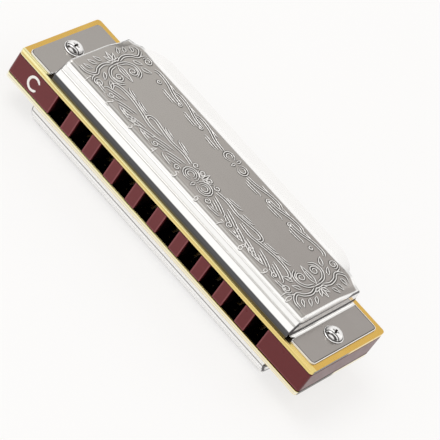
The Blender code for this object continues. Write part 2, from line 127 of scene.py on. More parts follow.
# Zones of a cover's finish above its seat, most of them for its painted highlights, reflections and shade.
# Two numbers fade in or out, and four do both.
RAISED = (0.7, 1.0)
WALL_LOW_EDGE = (0.05, 0.2)
# Olive band of painted reflection at the foot of the upper front wall
WALL_SHADE = (0.2, 0.6)
# Grey line of painted shade at the lower cover's bend
UNDER_BEND = (1.40, 1.56, 1.72, 1.88)
# Painted shade lines along the slope's two ledges
LOW_LEDGE_LINE = (3.12, 3.28, 3.50, 3.64)
HIGH_LEDGE_LINE = (4.40, 4.54, 4.74, 4.88)
# Dark bands of painted reflection on the end walls
LOW_DARK_REFLECTION = (0.95, 1.15, 2.1, 2.5)
HIGH_DARK_REFLECTION = (3.95, 4.05, 4.45, 4.6)
DARK_REFLECTION_FOOT = (0.95, 1.05)
BEND_REFLECTION_TOP = (4.0, 4.4)
BEND_REFLECTION_LEAN = 0.763
SHEET_EDGE = (SHEET - 0.14, SHEET - 0.08)
SHEET_TOP = (SHEET - 0.08, SHEET)
FLANGE_TOP = (SHEET - 0.12, SHEET - 0.08, SHEET + 0.02, SHEET + 0.05)
NOTCH_EDGE = (SHEET - 0.12, SHEET - 0.08, SHEET + 0.05, SHEET + 0.1)
END_WALL_FOOT = (SHEET + 0.02, 0.7)
OFF_FLANGE = (SHEET + 0.3, SHEET + 0.6)
UNDER_TOP = (RISE - SHEET + 0.08, RISE - SHEET + 0.16)

# Zones of a cover's finish behind the plate's front edge, most of them for its painted highlights,
# reflections and shade
WALL_FACE = (ARCH_FRONT + 0.03, ARCH_FRONT + 0.16)
BEHIND_WALL = (ARCH_FRONT + 0.2, ARCH_FRONT + 0.4)
UNDER_BEND_BACK = (1.3, 1.6)
NOTCH_EDGE_BACK = (FLANGE_FRONT + 0.5, FLANGE_FRONT + 0.9)
FLANGE_FRONT_EDGE = (FLANGE_FRONT + 0.9, FLANGE_FRONT + 1.3)
SLOPE_BACK = (2.95, 3.15)
SHOULDER_BAND = (2.95, 3.10, 3.55, 4.05)
# Painted shade inside the covers over the chambers
CHAMBER_DARK = (4.0, 4.4, 14, 17)
HOLLOW_FRONT = (5, 7)
LIP_FRONT = (TOP_BACK + 0.15, TOP_BACK + 0.35)

# Zones of a cover's finish out from the foot of its arch, most of them for its painted highlights,
# reflections and shade
HOLLOW_END = (-2.5, -2.0)
CHAMBER_DARK_END = (-1.5, -1.2)
SHOULDER_END = (-1.3, -1.0)
END_EDGE = (-1.05, -0.9, -0.8, -0.7)
END_WALL_TOP = (-1.0, -0.7)
DARK_REFLECTION_START = (-0.75, -0.6)
FOOT_BAND = (-0.3, -0.1, 0.55, 0.7)
FLANGE_INNER = (0.5, 0.7)
NOTCH_EDGE_END = (FOOT_FILLET + 0.4, FOOT_FILLET + 0.6)

# How far the flange's bright rim of painted highlight and the dark line of painted shade inside it lie
# beyond its outline
FLANGE_RIM = (-0.18, -0.10)
FLANGE_LINE = (-0.44, -0.32, -0.20, -0.14)
NOTCH_RIM = (-0.30, -0.20)

# Where the comb's chambers end, and how far a hole's side lies from the middle of its bridge
CHAMBERS_END = (36.3, 36.8)
CHAMBERS_DEPTH = (0.25, 1.4, 26, 27)
HOLE_SIDE = (1.12, 1.28, 1.50, 1.60)

# Painted shade on reeds and rivets at their mouth end, where the chambers are dark
CHAMBER_SHADE = (0.03, 0.024, 0.015)

# Colours of the plates' edges: a pale painted reflection, and a deeper tone towards the high end and in
# patches
UPPER_EDGE_COLOURS = ((0.98, 0.92, 0.62), (0.86, 0.66, 0.23))
LOWER_EDGE_COLOURS = ((1.0, 0.98, 0.92), (0.93, 0.88, 0.70))

# Screws, nuts, rivets and reeds. Turns are in degrees.
DOME_RADIUS = 2.1
DOME_EXTRA = 0.3
DOME_POWER = 0.75
COLLAR_RADIUS = 2.5
GROOVE_FLOOR = 0.18
RECESS_SPAN = 2.0
RECESS_WIDTH = 0.62
RECESS_DEPTH = 0.8
RECESS_TAPER = 0.55
COVER_SCREW_SHANK = 1.0
COVER_SCREW_TURNS = {"left_cover_screw": 8, "right_cover_screw": 20}
NUT_CHAMFER = 0.32
NUT_BORE = 1.05
NUT_BORE_MOUTH = 1.15
PLATE_SCREW_SHANK = 0.7
PLATE_SCREW_SLOT = 0.3
RIVET_SHANK = 0.5
RIVET_HEAD = 0.4
REED_CUTS = 12

# Relief lines, and the painted shadow band beside each
ORNAMENT_FRONT = 3.9
ORNAMENT_BACK = TOP_BACK - 0.4
RIDGE_RADIUS = 0.155
RIDGE_FLAT = 0.75
SHADOW_BAND_RADIUS = 0.34
SHADOW_BAND_FLAT = 0.12
SHADOW_BAND_SHIFT = (0.05, -0.05)

# Figures and the key letter
DIGIT_RADIUS = 0.125
DIGIT_SHADOW_RADIUS = 0.10
DIGIT_SHADOW_SHIFT = (0.17, -0.13)
DIGIT_SCALE = 0.95
DIGIT_PACE = 1.5
DIGIT_FOOT = -1.3
LETTER_PLACE = (-42.7, 10.1)
LETTER_HALF_WIDTH = 1.60
LETTER_HALF_HEIGHT = 1.76
LETTER_GAP = 0.098
LETTER_STROKE = 0.66
INK = 0.06


def select_only(piece):
    """Select one piece and nothing else, and make it the active one."""
    bpy.ops.object.select_all(action="DESELECT")
    piece.select_set(True)
    bpy.context.view_layer.objects.active = piece


def in_edit_mode(piece, *steps):
    """Run each (operator, settings) on the whole of a piece in edit mode."""
    select_only(piece)
    bpy.ops.object.mode_set(mode="EDIT")
    bpy.ops.mesh.select_all(action="SELECT")
    for operator, settings in steps:
        operator(**settings)
    bpy.ops.object.mode_set(mode="OBJECT")


def settle(piece, smooth_angle=32):
    """Bake a piece's place into its mesh and shade it, with its flats kept flat."""
    select_only(piece)
    bpy.ops.object.transform_apply(location=True, rotation=True, scale=True)
    bpy.ops.object.shade_smooth_by_angle(angle=math.radians(smooth_angle))
    return modify(piece, "WEIGHTED_NORMAL", keep_sharp=True)


def modify(piece, kind, **settings):
    """Add a modifier, set it and apply it."""
    select_only(piece)
    modifier = piece.modifiers.new(kind.lower(), kind)
    for name, value in settings.items():
        setattr(modifier, name, value)
    bpy.ops.object.modifier_apply(modifier=modifier.name)
    return piece


def carve(piece, tool, operation="DIFFERENCE"):
    """Cut a piece with a tool, which is used up."""
    modify(piece, "BOOLEAN", object=tool, operation=operation, solver="EXACT")
    bpy.data.objects.remove(tool, do_unlink=True)
    return piece


def bevel_edges(piece, width, angle=40, segments=2):
    """Bevel the edges whose faces turn by more than an angle in degrees."""
    return modify(
        piece,
        "BEVEL",
        width=width * MM,
        segments=segments,
        limit_method="ANGLE",
        angle_limit=math.radians(angle),
    )


def dress(piece, finish, slot, *nodes, body=BODY):
    """Give a piece its finish and its body, and hide the nodes it stands for. The record slot is not used.
    """
    piece.data.materials.clear()
    piece.data.materials.append(finish)
    if nodes:
        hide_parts(*nodes)
    if body:
        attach(piece, body)
    return piece


class Value:
    """A shader value. Plain arithmetic on it adds Math nodes."""

    def __init__(self, tree, socket):
        self.tree = tree
        self.socket = socket

    def maths(self, operation, *values):
        return self.tree.node("ShaderNodeMath", {"operation": operation}, dict(enumerate(values)))

    def __add__(self, other):
        return self.maths("ADD", self, other)

    def __sub__(self, other):
        return self.maths("SUBTRACT", self, other)

    def __rsub__(self, other):
        return self.maths("SUBTRACT", other, self)

    def __mul__(self, other):
        return self.maths("MULTIPLY", self, other)

    def __abs__(self):
        return self.maths("ABSOLUTE", self)

    __radd__ = __add__
    __rmul__ = __mul__

    def greater(self, other):
        return self.maths("MAXIMUM", self, other)

    def root(self):
        return self.maths("SQRT", self)

    def rises(self, low, high):
        """0 below low, 1 above high, and a smooth step between."""
        settings = {"interpolation_type": "SMOOTHSTEP"}
        inputs = {"Value": self, "From Min": low, "From Max": high}
        return self.tree.node("ShaderNodeMapRange", settings, inputs)

    def falls(self, low, high):
        return 1 - self.rises(low, high)

    def band(self, low, full_from, full_to, high):
        """0 below low and above high, and 1 between full_from and full_to."""
        return self.rises(low, full_from) * self.falls(full_to, high)


class Nodes:
    """A node tree in which node() adds one node and returns its output as a Value."""

    def __init__(self, tree):
        self.tree = tree

    def node(self, kind, settings=None, inputs=None, output=0):
        made = self.tree.nodes.new(kind)
        for name, value in (settings or {}).items():
            setattr(made, name, value)
        for key, value in (inputs or {}).items():
            self.join(made.inputs[key], value)
        return Value(self, made.outputs[output])

    def join(self, socket, value):
        if isinstance(value, Value):
            self.tree.links.new(value.socket, socket)
        else:
            socket.default_value = value

    def mix(self, share, first, second):
        """A colour between two colours. Colours are (red, green, blue) or Values."""
        first = first if isinstance(first, Value) else (*first, 1)
        second = second if isinstance(second, Value) else (*second, 1)
        return self.node("ShaderNodeMix", {"data_type": "RGBA"}, {0: share, 6: first, 7: second}, 2)

    def layers(self, colour, *layers):
        """A colour with others laid over it in turn, each given as (share, colour)."""
        for share, shade in layers:
            colour = self.mix(share, colour, shade)
        return colour

    def axes(self, vector):
        """The three parts of a vector."""
        made = self.tree.nodes.new("ShaderNodeSeparateXYZ")
        self.join(made.inputs[0], vector)
        return [Value(self, output) for output in made.outputs]


class Finish(Nodes):
    """A material whose pattern lies on Object coordinates, read in millimetres."""

    def __init__(self, name):
        self.material = bpy.data.materials.new(name)
        self.material.use_nodes = True
        super().__init__(self.material.node_tree)
        self.shader = self.tree.nodes["Principled BSDF"]
        raw = self.node("ShaderNodeTexCoord", output=3)
        inputs = {0: raw, "Scale": 1 / MM}
        self.place = self.node("ShaderNodeVectorMath", {"operation": "SCALE"}, inputs)
        self.x, self.y, self.z = self.axes(self.place)

    def noise(self, size, stretch=(1, 1, 1), detail=3):
        """Noise from 0 to 1 whose blots are about size millimetres across."""
        scale = [1 / (size * s) for s in stretch]
        placed = self.node("ShaderNodeMapping", inputs={"Vector": self.place, "Scale": scale})
        return self.node("ShaderNodeTexNoise", inputs={"Vector": placed, "Scale": 1, "Detail": detail})

    def set(self, **sockets):
        """Set or link the shader's sockets, named in words joined by underscores."""
        for words, value in sockets.items():
            name = words.replace("_", " ").title().replace("Ior", "IOR")
            if isinstance(value, tuple):
                value = (*value, 1)
            self.join(self.shader.inputs[name], value)
        return self

    def bump(self, height, depth, strength=1.0):
        """Relief of a height value, whose full range is depth millimetres."""
        inputs = {"Strength": strength, "Distance": depth * MM, "Height": height}
        self.join(self.shader.inputs["Normal"], self.node("ShaderNodeBump", inputs=inputs))
        return self


def beyond_flange(made):
    """How far a point lies outside the outline of a cover's flange, which has rounded corners."""
    middle, half = FRONT + (FLANGE_FRONT + FLANGE_BACK) / 2, (FLANGE_BACK - FLANGE_FRONT) / 2
    aside = (abs(made.x) - (COMB_END - FLANGE_SIDE - FLANGE_CORNER)).greater(0)
    behind = (abs(made.y - middle) - (half - FLANGE_CORNER)).greater(0)
    return (aside * aside + behind * behind).root() - FLANGE_CORNER


def beyond_notch_corner(made):
    """How far a point lies outside the rounded corner beside a cover's notch."""
    aside = (NOTCH_OUTER + NOTCH_CORNER - abs(made.x)).greater(0)
    ahead = (FRONT + FLANGE_FRONT + NOTCH_CORNER - made.y).greater(0)
    return (aside * aside + ahead * ahead).root() - NOTCH_CORNER


def cover_zones(made):
    """Where each form of a cover lies, as values from 0 to 1, and the measures they come from."""
    zones = SimpleNamespace()
    zones.across = made.y - FRONT
    zones.above_seat = abs(made.z - MIDDLE_LEVEL) - (UPPER_SEAT - MIDDLE_LEVEL)
    zones.past_foot = abs(made.x) - ARCH_FOOT
    zones.upper = made.z.rises(MIDDLE_LEVEL, MIDDLE_LEVEL + 1)
    zones.right = made.x.rises(0, 1)
    across, above_seat, past_foot = zones.across, zones.above_seat, zones.past_foot
    raised = above_seat.rises(*RAISED)
    under_top = above_seat.falls(*UNDER_TOP) * above_seat.rises(*OFF_FLANGE)

    zones.front_wall = across.falls(*WALL_FACE) * above_seat.rises(*WALL_LOW_EDGE)
    zones.slope = across.falls(*SLOPE_BACK) * raised
    zones.ledge_lines = above_seat.band(*LOW_LEDGE_LINE) + 0.7 * above_seat.band(*HIGH_LEDGE_LINE)
    zones.shoulder = across.band(*SHOULDER_BAND) * raised * past_foot.falls(*SHOULDER_END)
    zones.lip = across.rises(*LIP_FRONT) * raised
    zones.end_wall = past_foot.rises(*END_WALL_TOP) * above_seat.rises(*END_WALL_FOOT)
    zones.foot = past_foot.band(*FOOT_BAND) * above_seat.rises(*SHEET_TOP)
    # Painted highlight along the high end's end edge and the foot of its end wall
    zones.end_edge = past_foot.band(*END_EDGE).greater(zones.foot) * zones.right
    zones.hollow = across.rises(*HOLLOW_FRONT) * under_top * past_foot.falls(*HOLLOW_END)
    zones.over_chambers = across.band(*CHAMBER_DARK) * under_top * past_foot.falls(*CHAMBER_DARK_END)

    outline = beyond_flange(made)
    on_flange = above_seat.band(*FLANGE_TOP) * past_foot.rises(*FLANGE_INNER)
    on_flange = on_flange * across.falls(*FLANGE_FRONT_EDGE).greater(zones.right)
    zones.flange_line = outline.band(*FLANGE_LINE) * on_flange
    notch_edge = beyond_notch_corner(made).rises(*NOTCH_RIM) * past_foot.falls(*NOTCH_EDGE_END)
    notch_edge = notch_edge * across.falls(*NOTCH_EDGE_BACK) * above_seat.band(*NOTCH_EDGE)
    # The rim is painted highlight: the sheet's cut edge, the flange's outer edge and the notch's rounded
    # corner
    sheet_edge = above_seat.falls(*SHEET_EDGE) * across.rises(*BEHIND_WALL)
    zones.rim = sheet_edge.greater(outline.rises(*FLANGE_RIM) * on_flange).greater(notch_edge)
    # The bright zone is painted highlight and reflection: slopes, lip, rims, end walls, their foot and the
    # front walls
    zones.bright = zones.slope.greater(zones.lip).greater(zones.rim).greater(zones.end_wall)
    zones.bright = zones.bright.greater(zones.foot).greater(zones.front_wall)
    return zones


def end_wall_dark_reflections(made, zones):
    """Dark uneven bands of painted reflection on the arch's end walls: one low, one high and one along the
    front bend.
    """
    level = zones.above_seat + 0.5 * (made.noise(0.5, (30, 18, 1), 2) - 0.5)
    behind_bend = zones.across - BEND_REFLECTION_LEAN * (zones.above_seat - WALL_HEIGHT)
    along_bend = behind_bend.falls(1.1, 1.3) * level.falls(*BEND_REFLECTION_TOP)
    bands = (0.9 * level.band(*HIGH_DARK_REFLECTION)).greater(level.band(*LOW_DARK_REFLECTION)).greater(along_bend)
    return bands * zones.past_foot.rises(*DARK_REFLECTION_START) * zones.above_seat.rises(*DARK_REFLECTION_FOOT)


def cover_finish():
    """Polished sheet: satin grey on its flats, darkening to the right by painted shade; bright on its
    slopes, lip, rims and end walls by painted highlight and reflection; dark along its upper front wall and
    end walls by painted reflection; with lines of painted shade, and nearly black over the chambers by
    painted shade.
    """
    made = Finish("cover_sheet")
    zones = cover_zones(made)
    dark_reflection = end_wall_dark_reflections(made, zones)
    wall, lower = zones.front_wall * zones.upper, 1 - zones.upper
    under_bend = zones.above_seat.band(*UNDER_BEND) * zones.across.falls(*UNDER_BEND_BACK) * lower
    # Painted shade: the flats' grey darkens from left to right and at the low end; the noise is the sheet's
    # own tone
    satin_and_painted_shade = made.layers(
        made.mix(made.x.rises(-45, 45), (0.505, 0.48, 0.45), (0.405, 0.375, 0.355)),
        (made.x.falls(-ARCH_FOOT - 0.5, -ARCH_FOOT), (0.45, 0.425, 0.40)),
        (0.35 * made.noise(7), (0.46, 0.44, 0.42)),
    )
    # Painted shade: a darker band over the shoulder, darkest towards the low end
    shoulder_shade = made.mix(made.x.rises(-25, 10), (0.25, 0.24, 0.225), (0.33, 0.315, 0.295))
    colour = made.layers(
        satin_and_painted_shade,
        # Painted highlights and reflections: the bright zone, the high end's end edges and the slopes
        (zones.bright, (0.91, 0.905, 0.90)),
        (zones.end_edge, (1.0, 0.995, 0.98)),
        (zones.slope, (0.96, 0.955, 0.945)),
        # Painted shade: grey lines along the slope's two ledges
        (zones.slope * zones.ledge_lines, (0.52, 0.51, 0.49)),
        (zones.shoulder, shoulder_shade),
        # Painted reflection: dark bands on the end walls
        (dark_reflection, (0.075, 0.07, 0.075)),
        # Painted shade: a dark line just inside the flange's outer edge
        (0.95 * zones.flange_line, (0.10, 0.09, 0.075)),
        # Painted reflection: the upper front wall dark grey, with an olive band of painted brass reflection
        # at its foot
        (wall, (0.080, 0.080, 0.085)),
        (0.5 * wall * zones.above_seat.falls(*WALL_SHADE), (0.14, 0.12, 0.06)),
        # Painted shade: a grey line along the lower cover's bend below its front wall
        (0.85 * under_bend, (0.2, 0.195, 0.2)),
        # Painted shade: the covers' inside over the chambers nearly black
        (zones.over_chambers, (0.012, 0.010, 0.008)),
    )
    grain = made.noise(0.5, (14, 1, 1), 4)
    roughness = 0.11 + 0.08 * made.noise(3.5) + 0.10 * grain * (1 - zones.bright)
    roughness = roughness + 0.14 * wall + 0.35 * dark_reflection
    # Less mirroring where the colour carries painted highlight and reflection: rims, end walls and the
    # lower front wall
    painted = (0.9 * zones.rim).greater(0.45 * zones.end_wall).greater(0.75 * zones.front_wall * lower)
    mirror = (1 - painted) * (1 - 0.55 * zones.slope) * (1 - 0.6 * zones.hollow)
    mirror = mirror * (1 - 0.7 * zones.shoulder) * (1 - 0.8 * dark_reflection)
    made.set(base_color=colour, metallic=mirror, roughness=roughness)
    return made.bump(grain, 0.004, 0.35).material


def relief_finish(name, light, dark, roughness, mirror):
    """Metal of the pressed lines and figures, pale and little metallic as a painted highlight, or of the
    painted shadow bands beside them.
    """
    made = Finish(name)
    made.set(base_color=made.mix(made.noise(0.9), light, dark), metallic=mirror)
    return made.set(roughness=roughness + 0.08 * made.noise(0.4)).material


def comb_finish():
    """Glossy moulded maroon, with painted shade that darkens it towards the high end, along its joints with
    the plates and nearly to black in its chambers, and painted highlights on the arrises at its holes.
    """
    made = Finish("comb_plastic")
    behind = made.y - FRONT
    above, below = made.z - comb_low.z, comb_high.z - made.z
    chambers = abs(made.x).falls(*CHAMBERS_END)
    from_bridge = made.x.maths("PINGPONG", made.x, HOLE_PITCH / 2)
    hole_sides = from_bridge.band(*HOLE_SIDE) * chambers
    arris = hole_sides.greater(above.falls(0.50, 0.62)) * behind.falls(0.02, 0.12)
    joint = above.falls(0.20, 0.34).greater(below.falls(0.12, 0.24))
    colour = made.layers(
        made.mix(made.noise(9), (0.138, 0.020, 0.023), (0.158, 0.025, 0.028)),
        # Painted shade: darker towards the high end
        (made.x.rises(-10, 50), (0.125, 0.013, 0.015)),
        # Painted highlight: paler arrises at the holes' sides and along the front's lower edge
        (0.35 * arris, (0.36, 0.12, 0.13)),
        # Painted shade: the chambers nearly black inside
        (behind.band(*CHAMBERS_DEPTH) * chambers, (0.008, 0.003, 0.003)),
        # Painted shade: dark lines along the joints with the plates
        (joint, (0.020, 0.004, 0.005)),
    )
    made.set(base_color=colour, roughness=0.24 + 0.12 * made.noise(2.2), coat_weight=0.07)
    made.set(coat_roughness=0.08, specular_ior_level=0.28)
    return made.bump(made.noise(0.8), 0.006, 0.4).material


def plate_finish(name, low, high, inner_face, edge_colours):
    """Rolled brass: gold on its flats, with painted highlights and reflections that make its edges and
    front ledge paler, painted shade lines near the cover, and painted shade that makes it nearly black in
    the chambers.
    """
    made = Finish(name)
    pale_edge_reflection, deep_edge_tone = edge_colours
    across = made.y - FRONT
    past_foot = abs(made.x) - ARCH_FOOT
    above, below = made.z - low, high - made.z
    on_top = below.falls(0.02, 0.05)

    edge = above.rises(0.05, 0.16) * below.rises(0.10, 0.20)
    ledge = across.falls(1.15, 1.35)
    left_ledge = ledge * made.x.falls(-ARCH_FOOT, 1.2 - ARCH_FOOT)
    olive_shade_line = left_ledge * across.band(0.40, 0.52, 0.68, 0.80)
    painted_dark_band = below.band(0.25, 0.40, 0.62, 0.80) * across.falls(0.02, 0.08)
    crest = below.falls(0.16, 0.28) * across.falls(0.12, 0.24) * made.x.falls(-5, 30)
    wall_foot = across.band(0.28, 0.62, 1.0, 1.2) * below.falls(0.06, 0.1)
    wall_foot = wall_foot * past_foot.falls(FOOT_FILLET + 0.4, FOOT_FILLET + 0.9)
    at_flange = beyond_flange(made).falls(0.05, 0.14) * past_foot.rises(0.5, 0.9)
    notch = across.rises(0.55, 0.7) * past_foot.falls(0.75, 0.85) * on_top
    past_lip = across.rises(0.3, 0.9)
    inside = (past_lip * (1 - on_top)).greater(notch) * across.falls(13, 15) * above.rises(0.02, 0.05)
    inner_face_shade = abs(made.z - inner_face).falls(0.02, 0.06) * past_lip
    front_lip = below.falls(0.03, 0.06) * across.falls(0.30, 0.55) * made.x.falls(-5, 40)
    covered = across.band(15, 17, FLANGE_BACK - 0.3, FLANGE_BACK) * past_foot.falls(-1, 0)

    tarnish = made.noise(5, (2, 1, 1))
    streaks = made.noise(0.35, (20, 1, 1), 4)
    edge_reflection = made.mix(0.8 * made.x.rises(-45, 50), pale_edge_reflection, deep_edge_tone)
    colour = made.layers(
        made.mix(tarnish, (0.84, 0.56, 0.150), (0.74, 0.45, 0.10)),
        # Painted highlight: the front ledge paler yellow, palest at the low end
        (ledge, (0.92, 0.72, 0.27)),
        (left_ledge, (0.98, 0.93, 0.56)),
        # Painted shade: an olive line along the front ledge at the low end
        (0.7 * olive_shade_line, (0.66, 0.55, 0.20)),
        # Painted reflection: the edges pale, palest towards the low end
        (edge, made.mix(made.noise(0.7, (6, 1, 1)), edge_reflection, deep_edge_tone)),
        # Painted shade: a darker band along the middle of the front edge
        (0.9 * painted_dark_band, made.mix(0.35, deep_edge_tone, (0.62, 0.50, 0.16))),
        # Painted highlight: the upper front arris bright yellow
        (0.8 * crest, (1.0, 0.93, 0.46)),
        # Painted shade: a dark line on the ledge at the foot of the cover's front wall
        (0.93 * wall_foot, (0.10, 0.085, 0.035)),
        # Painted shade: a dark line on the brass along the flange's outline
        (0.6 * at_flange, (0.14, 0.11, 0.05)),
        # Painted shade: the plates nearly black inside the chambers and under the notches
        (inner_face_shade.greater(inside), (0.022, 0.015, 0.007)),
        # Painted highlight: a pale strip along the front of the top face
        (0.8 * front_lip, (1.0, 0.92, 0.48)),
    )
    made.set(base_color=colour, metallic=(1 - 0.5 * covered) * (1 - 0.6 * front_lip))
    made.set(roughness=0.16 + 0.14 * streaks + 0.06 * tarnish)
    return made.bump(streaks, 0.004, 0.4).material


def reed_finish():
    """Brass ground across the tongue, with fine tuning scratches, and painted shade that makes it dark
    towards the mouth.
    """
    made = Finish("reed_brass")
    scratches = made.noise(0.12, (12, 1, 1), 5)
    colour = made.mix(scratches, (0.86, 0.63, 0.27), (0.72, 0.48, 0.17))
    # Painted shade: dark towards the mouth
    colour = made.mix(0.92 * made.y.falls(-9, 1), colour, CHAMBER_SHADE)
    made.set(base_color=colour, metallic=1.0, roughness=0.18 + 0.2 * scratches)
    return made.bump(scratches, 0.006, 0.5).material


def rivet_finish():
    """Dull brass, with painted shade that makes it dark towards the mouth."""
    made = Finish("rivet_brass")
    colour = made.mix(made.noise(0.6), (0.42, 0.34, 0.22), (0.30, 0.23, 0.14))
    # Painted shade: dark towards the mouth
    made.set(base_color=made.mix(0.9 * made.y.falls(-2, 0), colour, CHAMBER_SHADE))
    return made.set(metallic=1.0, roughness=0.2 + 0.12 * made.noise(0.3)).material


def screw_finish():
    """Bright nickel plate with faint rub marks."""
    made = Finish("screw_nickel")
    rubs = made.noise(0.5)
    made.set(base_color=made.mix(rubs, (0.88, 0.865, 0.84), (0.76, 0.745, 0.72)))
    made.set(metallic=1.0, roughness=0.07 + 0.10 * rubs)
    return made.bump(made.noise(0.7), 0.01, 0.3).material


def cover_screw_finish(name, middle, crown):
    """Nickel plate, with painted shade in its recess and groove and two dark bands of painted reflection on
    its mouth side.
    """
    made = Finish(name + "_nickel")
    aside, back = made.x - middle.x, made.y - middle.y
    reach = (aside * aside + back * back).root() + 0.12 * (made.noise(0.6) - 0.5)
    front = 0.2 * aside - back + 0.25 * (made.noise(0.9) - 0.5)
    recess = reach.falls(RECESS_SPAN / 2 + 0.02, RECESS_SPAN / 2 + 0.1)
    recess = recess * (made.z - middle.z).falls(crown * 0.76, crown * 0.85)
    past_dome = reach - DOME_RADIUS
    groove = past_dome.band(-0.06, 0, 0.16, 0.24)
    inner_dark_band = front.band(0.92, 1.02, 1.18, 1.28) * reach.rises(0.9, 1.1)
    painted_dark_band = front.band(1.42, 1.52, 1.82, 1.92).greater(inner_dark_band) * past_dome.falls(-0.06, 0)
    # Painted shade in the recess and groove, and painted dark reflection in the two mouth-side bands
    dark = recess.greater(0.8 * groove).greater(0.93 * painted_dark_band)
    plate = made.mix(made.noise(0.5), (0.98, 0.975, 0.97), (0.90, 0.89, 0.88))
    made.set(base_color=made.mix(dark, plate, (0.035, 0.03, 0.028)))
    made.set(metallic=1 - 0.6 * (1 - dark), roughness=0.10 + 0.10 * made.noise(0.5))
    return made.bump(made.noise(0.7), 0.01, 0.3).material


def mark_finish():
    """White printing ink."""
    made = Finish("mark_ink")
    made.set(base_color=made.mix(made.noise(0.4), (0.93, 0.91, 0.88), (0.86, 0.84, 0.80)))
    return made.set(roughness=0.45 + 0.1 * made.noise(0.6)).material


def smooth_share(value):
    """0 up to 0, 1 from 1 on, and a smooth step between."""
    value = min(max(value, 0), 1)
    return value * value * (3 - 2 * value)


def rounded_path(corners, steps=4):
    """Points of a path whose corners, given as (across, up, reach), are rounded off."""
    points = [corners[0][:2]]
    for before, corner, after in zip(corners, corners[1:], corners[2:]):
        here = Vector(corner[:2])
        if corner[2] == 0:
            points.append(corner[:2])
            continue
        start = here + (Vector(before[:2]) - here).normalized() * corner[2]
        end = here + (Vector(after[:2]) - here).normalized() * corner[2]
        for step in range(steps + 1):
            share = step / steps
            points.append(tuple(start.lerp(here, share).lerp(here.lerp(end, share), share)))
    points.append(corners[-1][:2])
    return points


def cover_section():
    """A cover's section across the harmonica, from its front foot to the edge of its lip."""
    slope = SLOPE_RUN / (RISE - WALL_HEIGHT)
    corners = [(ARCH_FRONT, 0, 0)] + [(ARCH_FRONT, height, 0) for height in NOTCH_HEIGHTS]
    corners.append((ARCH_FRONT, WALL_HEIGHT, WALL_BEND))
    for height in LEDGE_HEIGHTS:
        across = ARCH_FRONT + slope * (height - WALL_HEIGHT)
        corners.append((across - LEDGE, height - LEDGE, LEDGE_BEND))
        corners.append((across + LEDGE, height, LEDGE_BEND))
    corners.append((ARCH_FRONT + SLOPE_RUN, RISE, SHOULDER))
    first_top, top_pieces = ARCH_FRONT + SLOPE_RUN + SHOULDER, 14
    for i in range(1, top_pieces):
        corners.append((first_top + (TOP_BACK - first_top) * i / top_pieces, RISE, 0))
    corners.append((TOP_BACK, RISE, TOP_BEND))
    corners.append((TOP_BACK + CREASE_RUN, RISE - CREASE_DEPTH, CREASE_BEND))
    corners.append((LIP_BACK, RISE - LIP_EDGE_DROP, 0))
    return rounded_path(corners)


def cover_stations():
    """Places along one half of a cover, as (x, share of the rise), from its end to its middle."""
    end = COMB_END - FLANGE_SIDE
    flange_steps, notch_steps, wall_steps, top_steps, lip_steps, middle_steps = 6, 4, 6, 4, 10, 4
    stations = []
    for step in range(flange_steps + 1):
        turn = math.pi / 2 * step / flange_steps
        stations.append((end - FLANGE_CORNER + FLANGE_CORNER * math.cos(turn), 0.0))
    for step in range(notch_steps):
        turn = math.pi / 2 * step / notch_steps
        stations.append((NOTCH_OUTER + NOTCH_CORNER * (1 - math.sin(turn)), 0.0))
    wall = [(NOTCH_OUTER, 0, 0), (ARCH_FOOT, 0, FOOT_FILLET - 0.001)]
    wall.append((ARCH_FOOT - END_LEAN, RISE - SHEET, END_SHOULDER))
    wall.append((ARCH_FOOT - END_RUN, RISE - SHEET, 0))
    stations += [(x, z / (RISE - SHEET)) for x, z in rounded_path(wall, wall_steps)]
    for step in range(1, top_steps + 1):
        stations.append((ARCH_FOOT - END_RUN - (LIP_INSET - END_RUN) * step / top_steps, 1.0))
    for step in range(1, lip_steps + 1):
        run = 1 - math.cos(math.pi / 2 * step / lip_steps)
        stations.append((ARCH_FOOT - LIP_INSET - LIP_CORNER * run, 1.0))
    reach = stations[-1][0]
    stations += [(reach * (1 - step / middle_steps), 1.0) for step in range(1, middle_steps)]
    return stations


def corner_fall(x, across):
    """How far the top has dropped at a place near one of its two back corners."""
    inward = (ARCH_FOOT - END_RUN / 2 - abs(x)) / (LIP_INSET - END_RUN / 2)
    backward = 1 - (TOP_BACK - across) / CORNER_FALL_RUN
    return CORNER_DROP * (1 - smooth_share(inward)) * smooth_share(backward)


def cover_row(x, share, section, lengths):
    """The points of a cover at one station: the section, flattened into the flange near its end."""
    from_end = ARCH_FOOT - abs(x)
    along_corner = min(max((from_end - LIP_INSET) / LIP_CORNER, 0), 1)
    lip_out = (1 - (1 - along_corner) ** LIP_CORNER_POWER) ** (1 / LIP_CORNER_POWER)
    crease_back = TOP_BACK + CREASE_RUN
    least_lip = SHEET / (LIP_BACK - crease_back)
    spread = smooth_share((from_end + FOOT_FILLET) / (2 * FOOT_FILLET))
    arc_x = max(abs(x) - (COMB_END - FLANGE_SIDE - FLANGE_CORNER), 0)
    corner = FLANGE_CORNER - math.sqrt(max(FLANGE_CORNER**2 - arc_x**2, 0))
    arc_x = min(max(NOTCH_CORNER - (abs(x) - NOTCH_OUTER), 0), NOTCH_CORNER)
    notch_corner = NOTCH_CORNER - math.sqrt(NOTCH_CORNER**2 - arc_x**2)
    flange_front, flange_back = FLANGE_FRONT + corner + notch_corner, FLANGE_BACK - corner
    row = []
    for (across, height), length in zip(section, lengths):
        if across > TOP_BACK:
            height = RISE - (RISE - height) * lip_out
        if across > crease_back:
            across = crease_back + (across - crease_back) * max(lip_out, least_lip)
        height -= corner_fall(x, min(across, TOP_BACK))
        flat = flange_front + (flange_back - flange_front) * length
        row.append((flat + (across - flat) * spread, SHEET + (height - SHEET) * share))
    return row


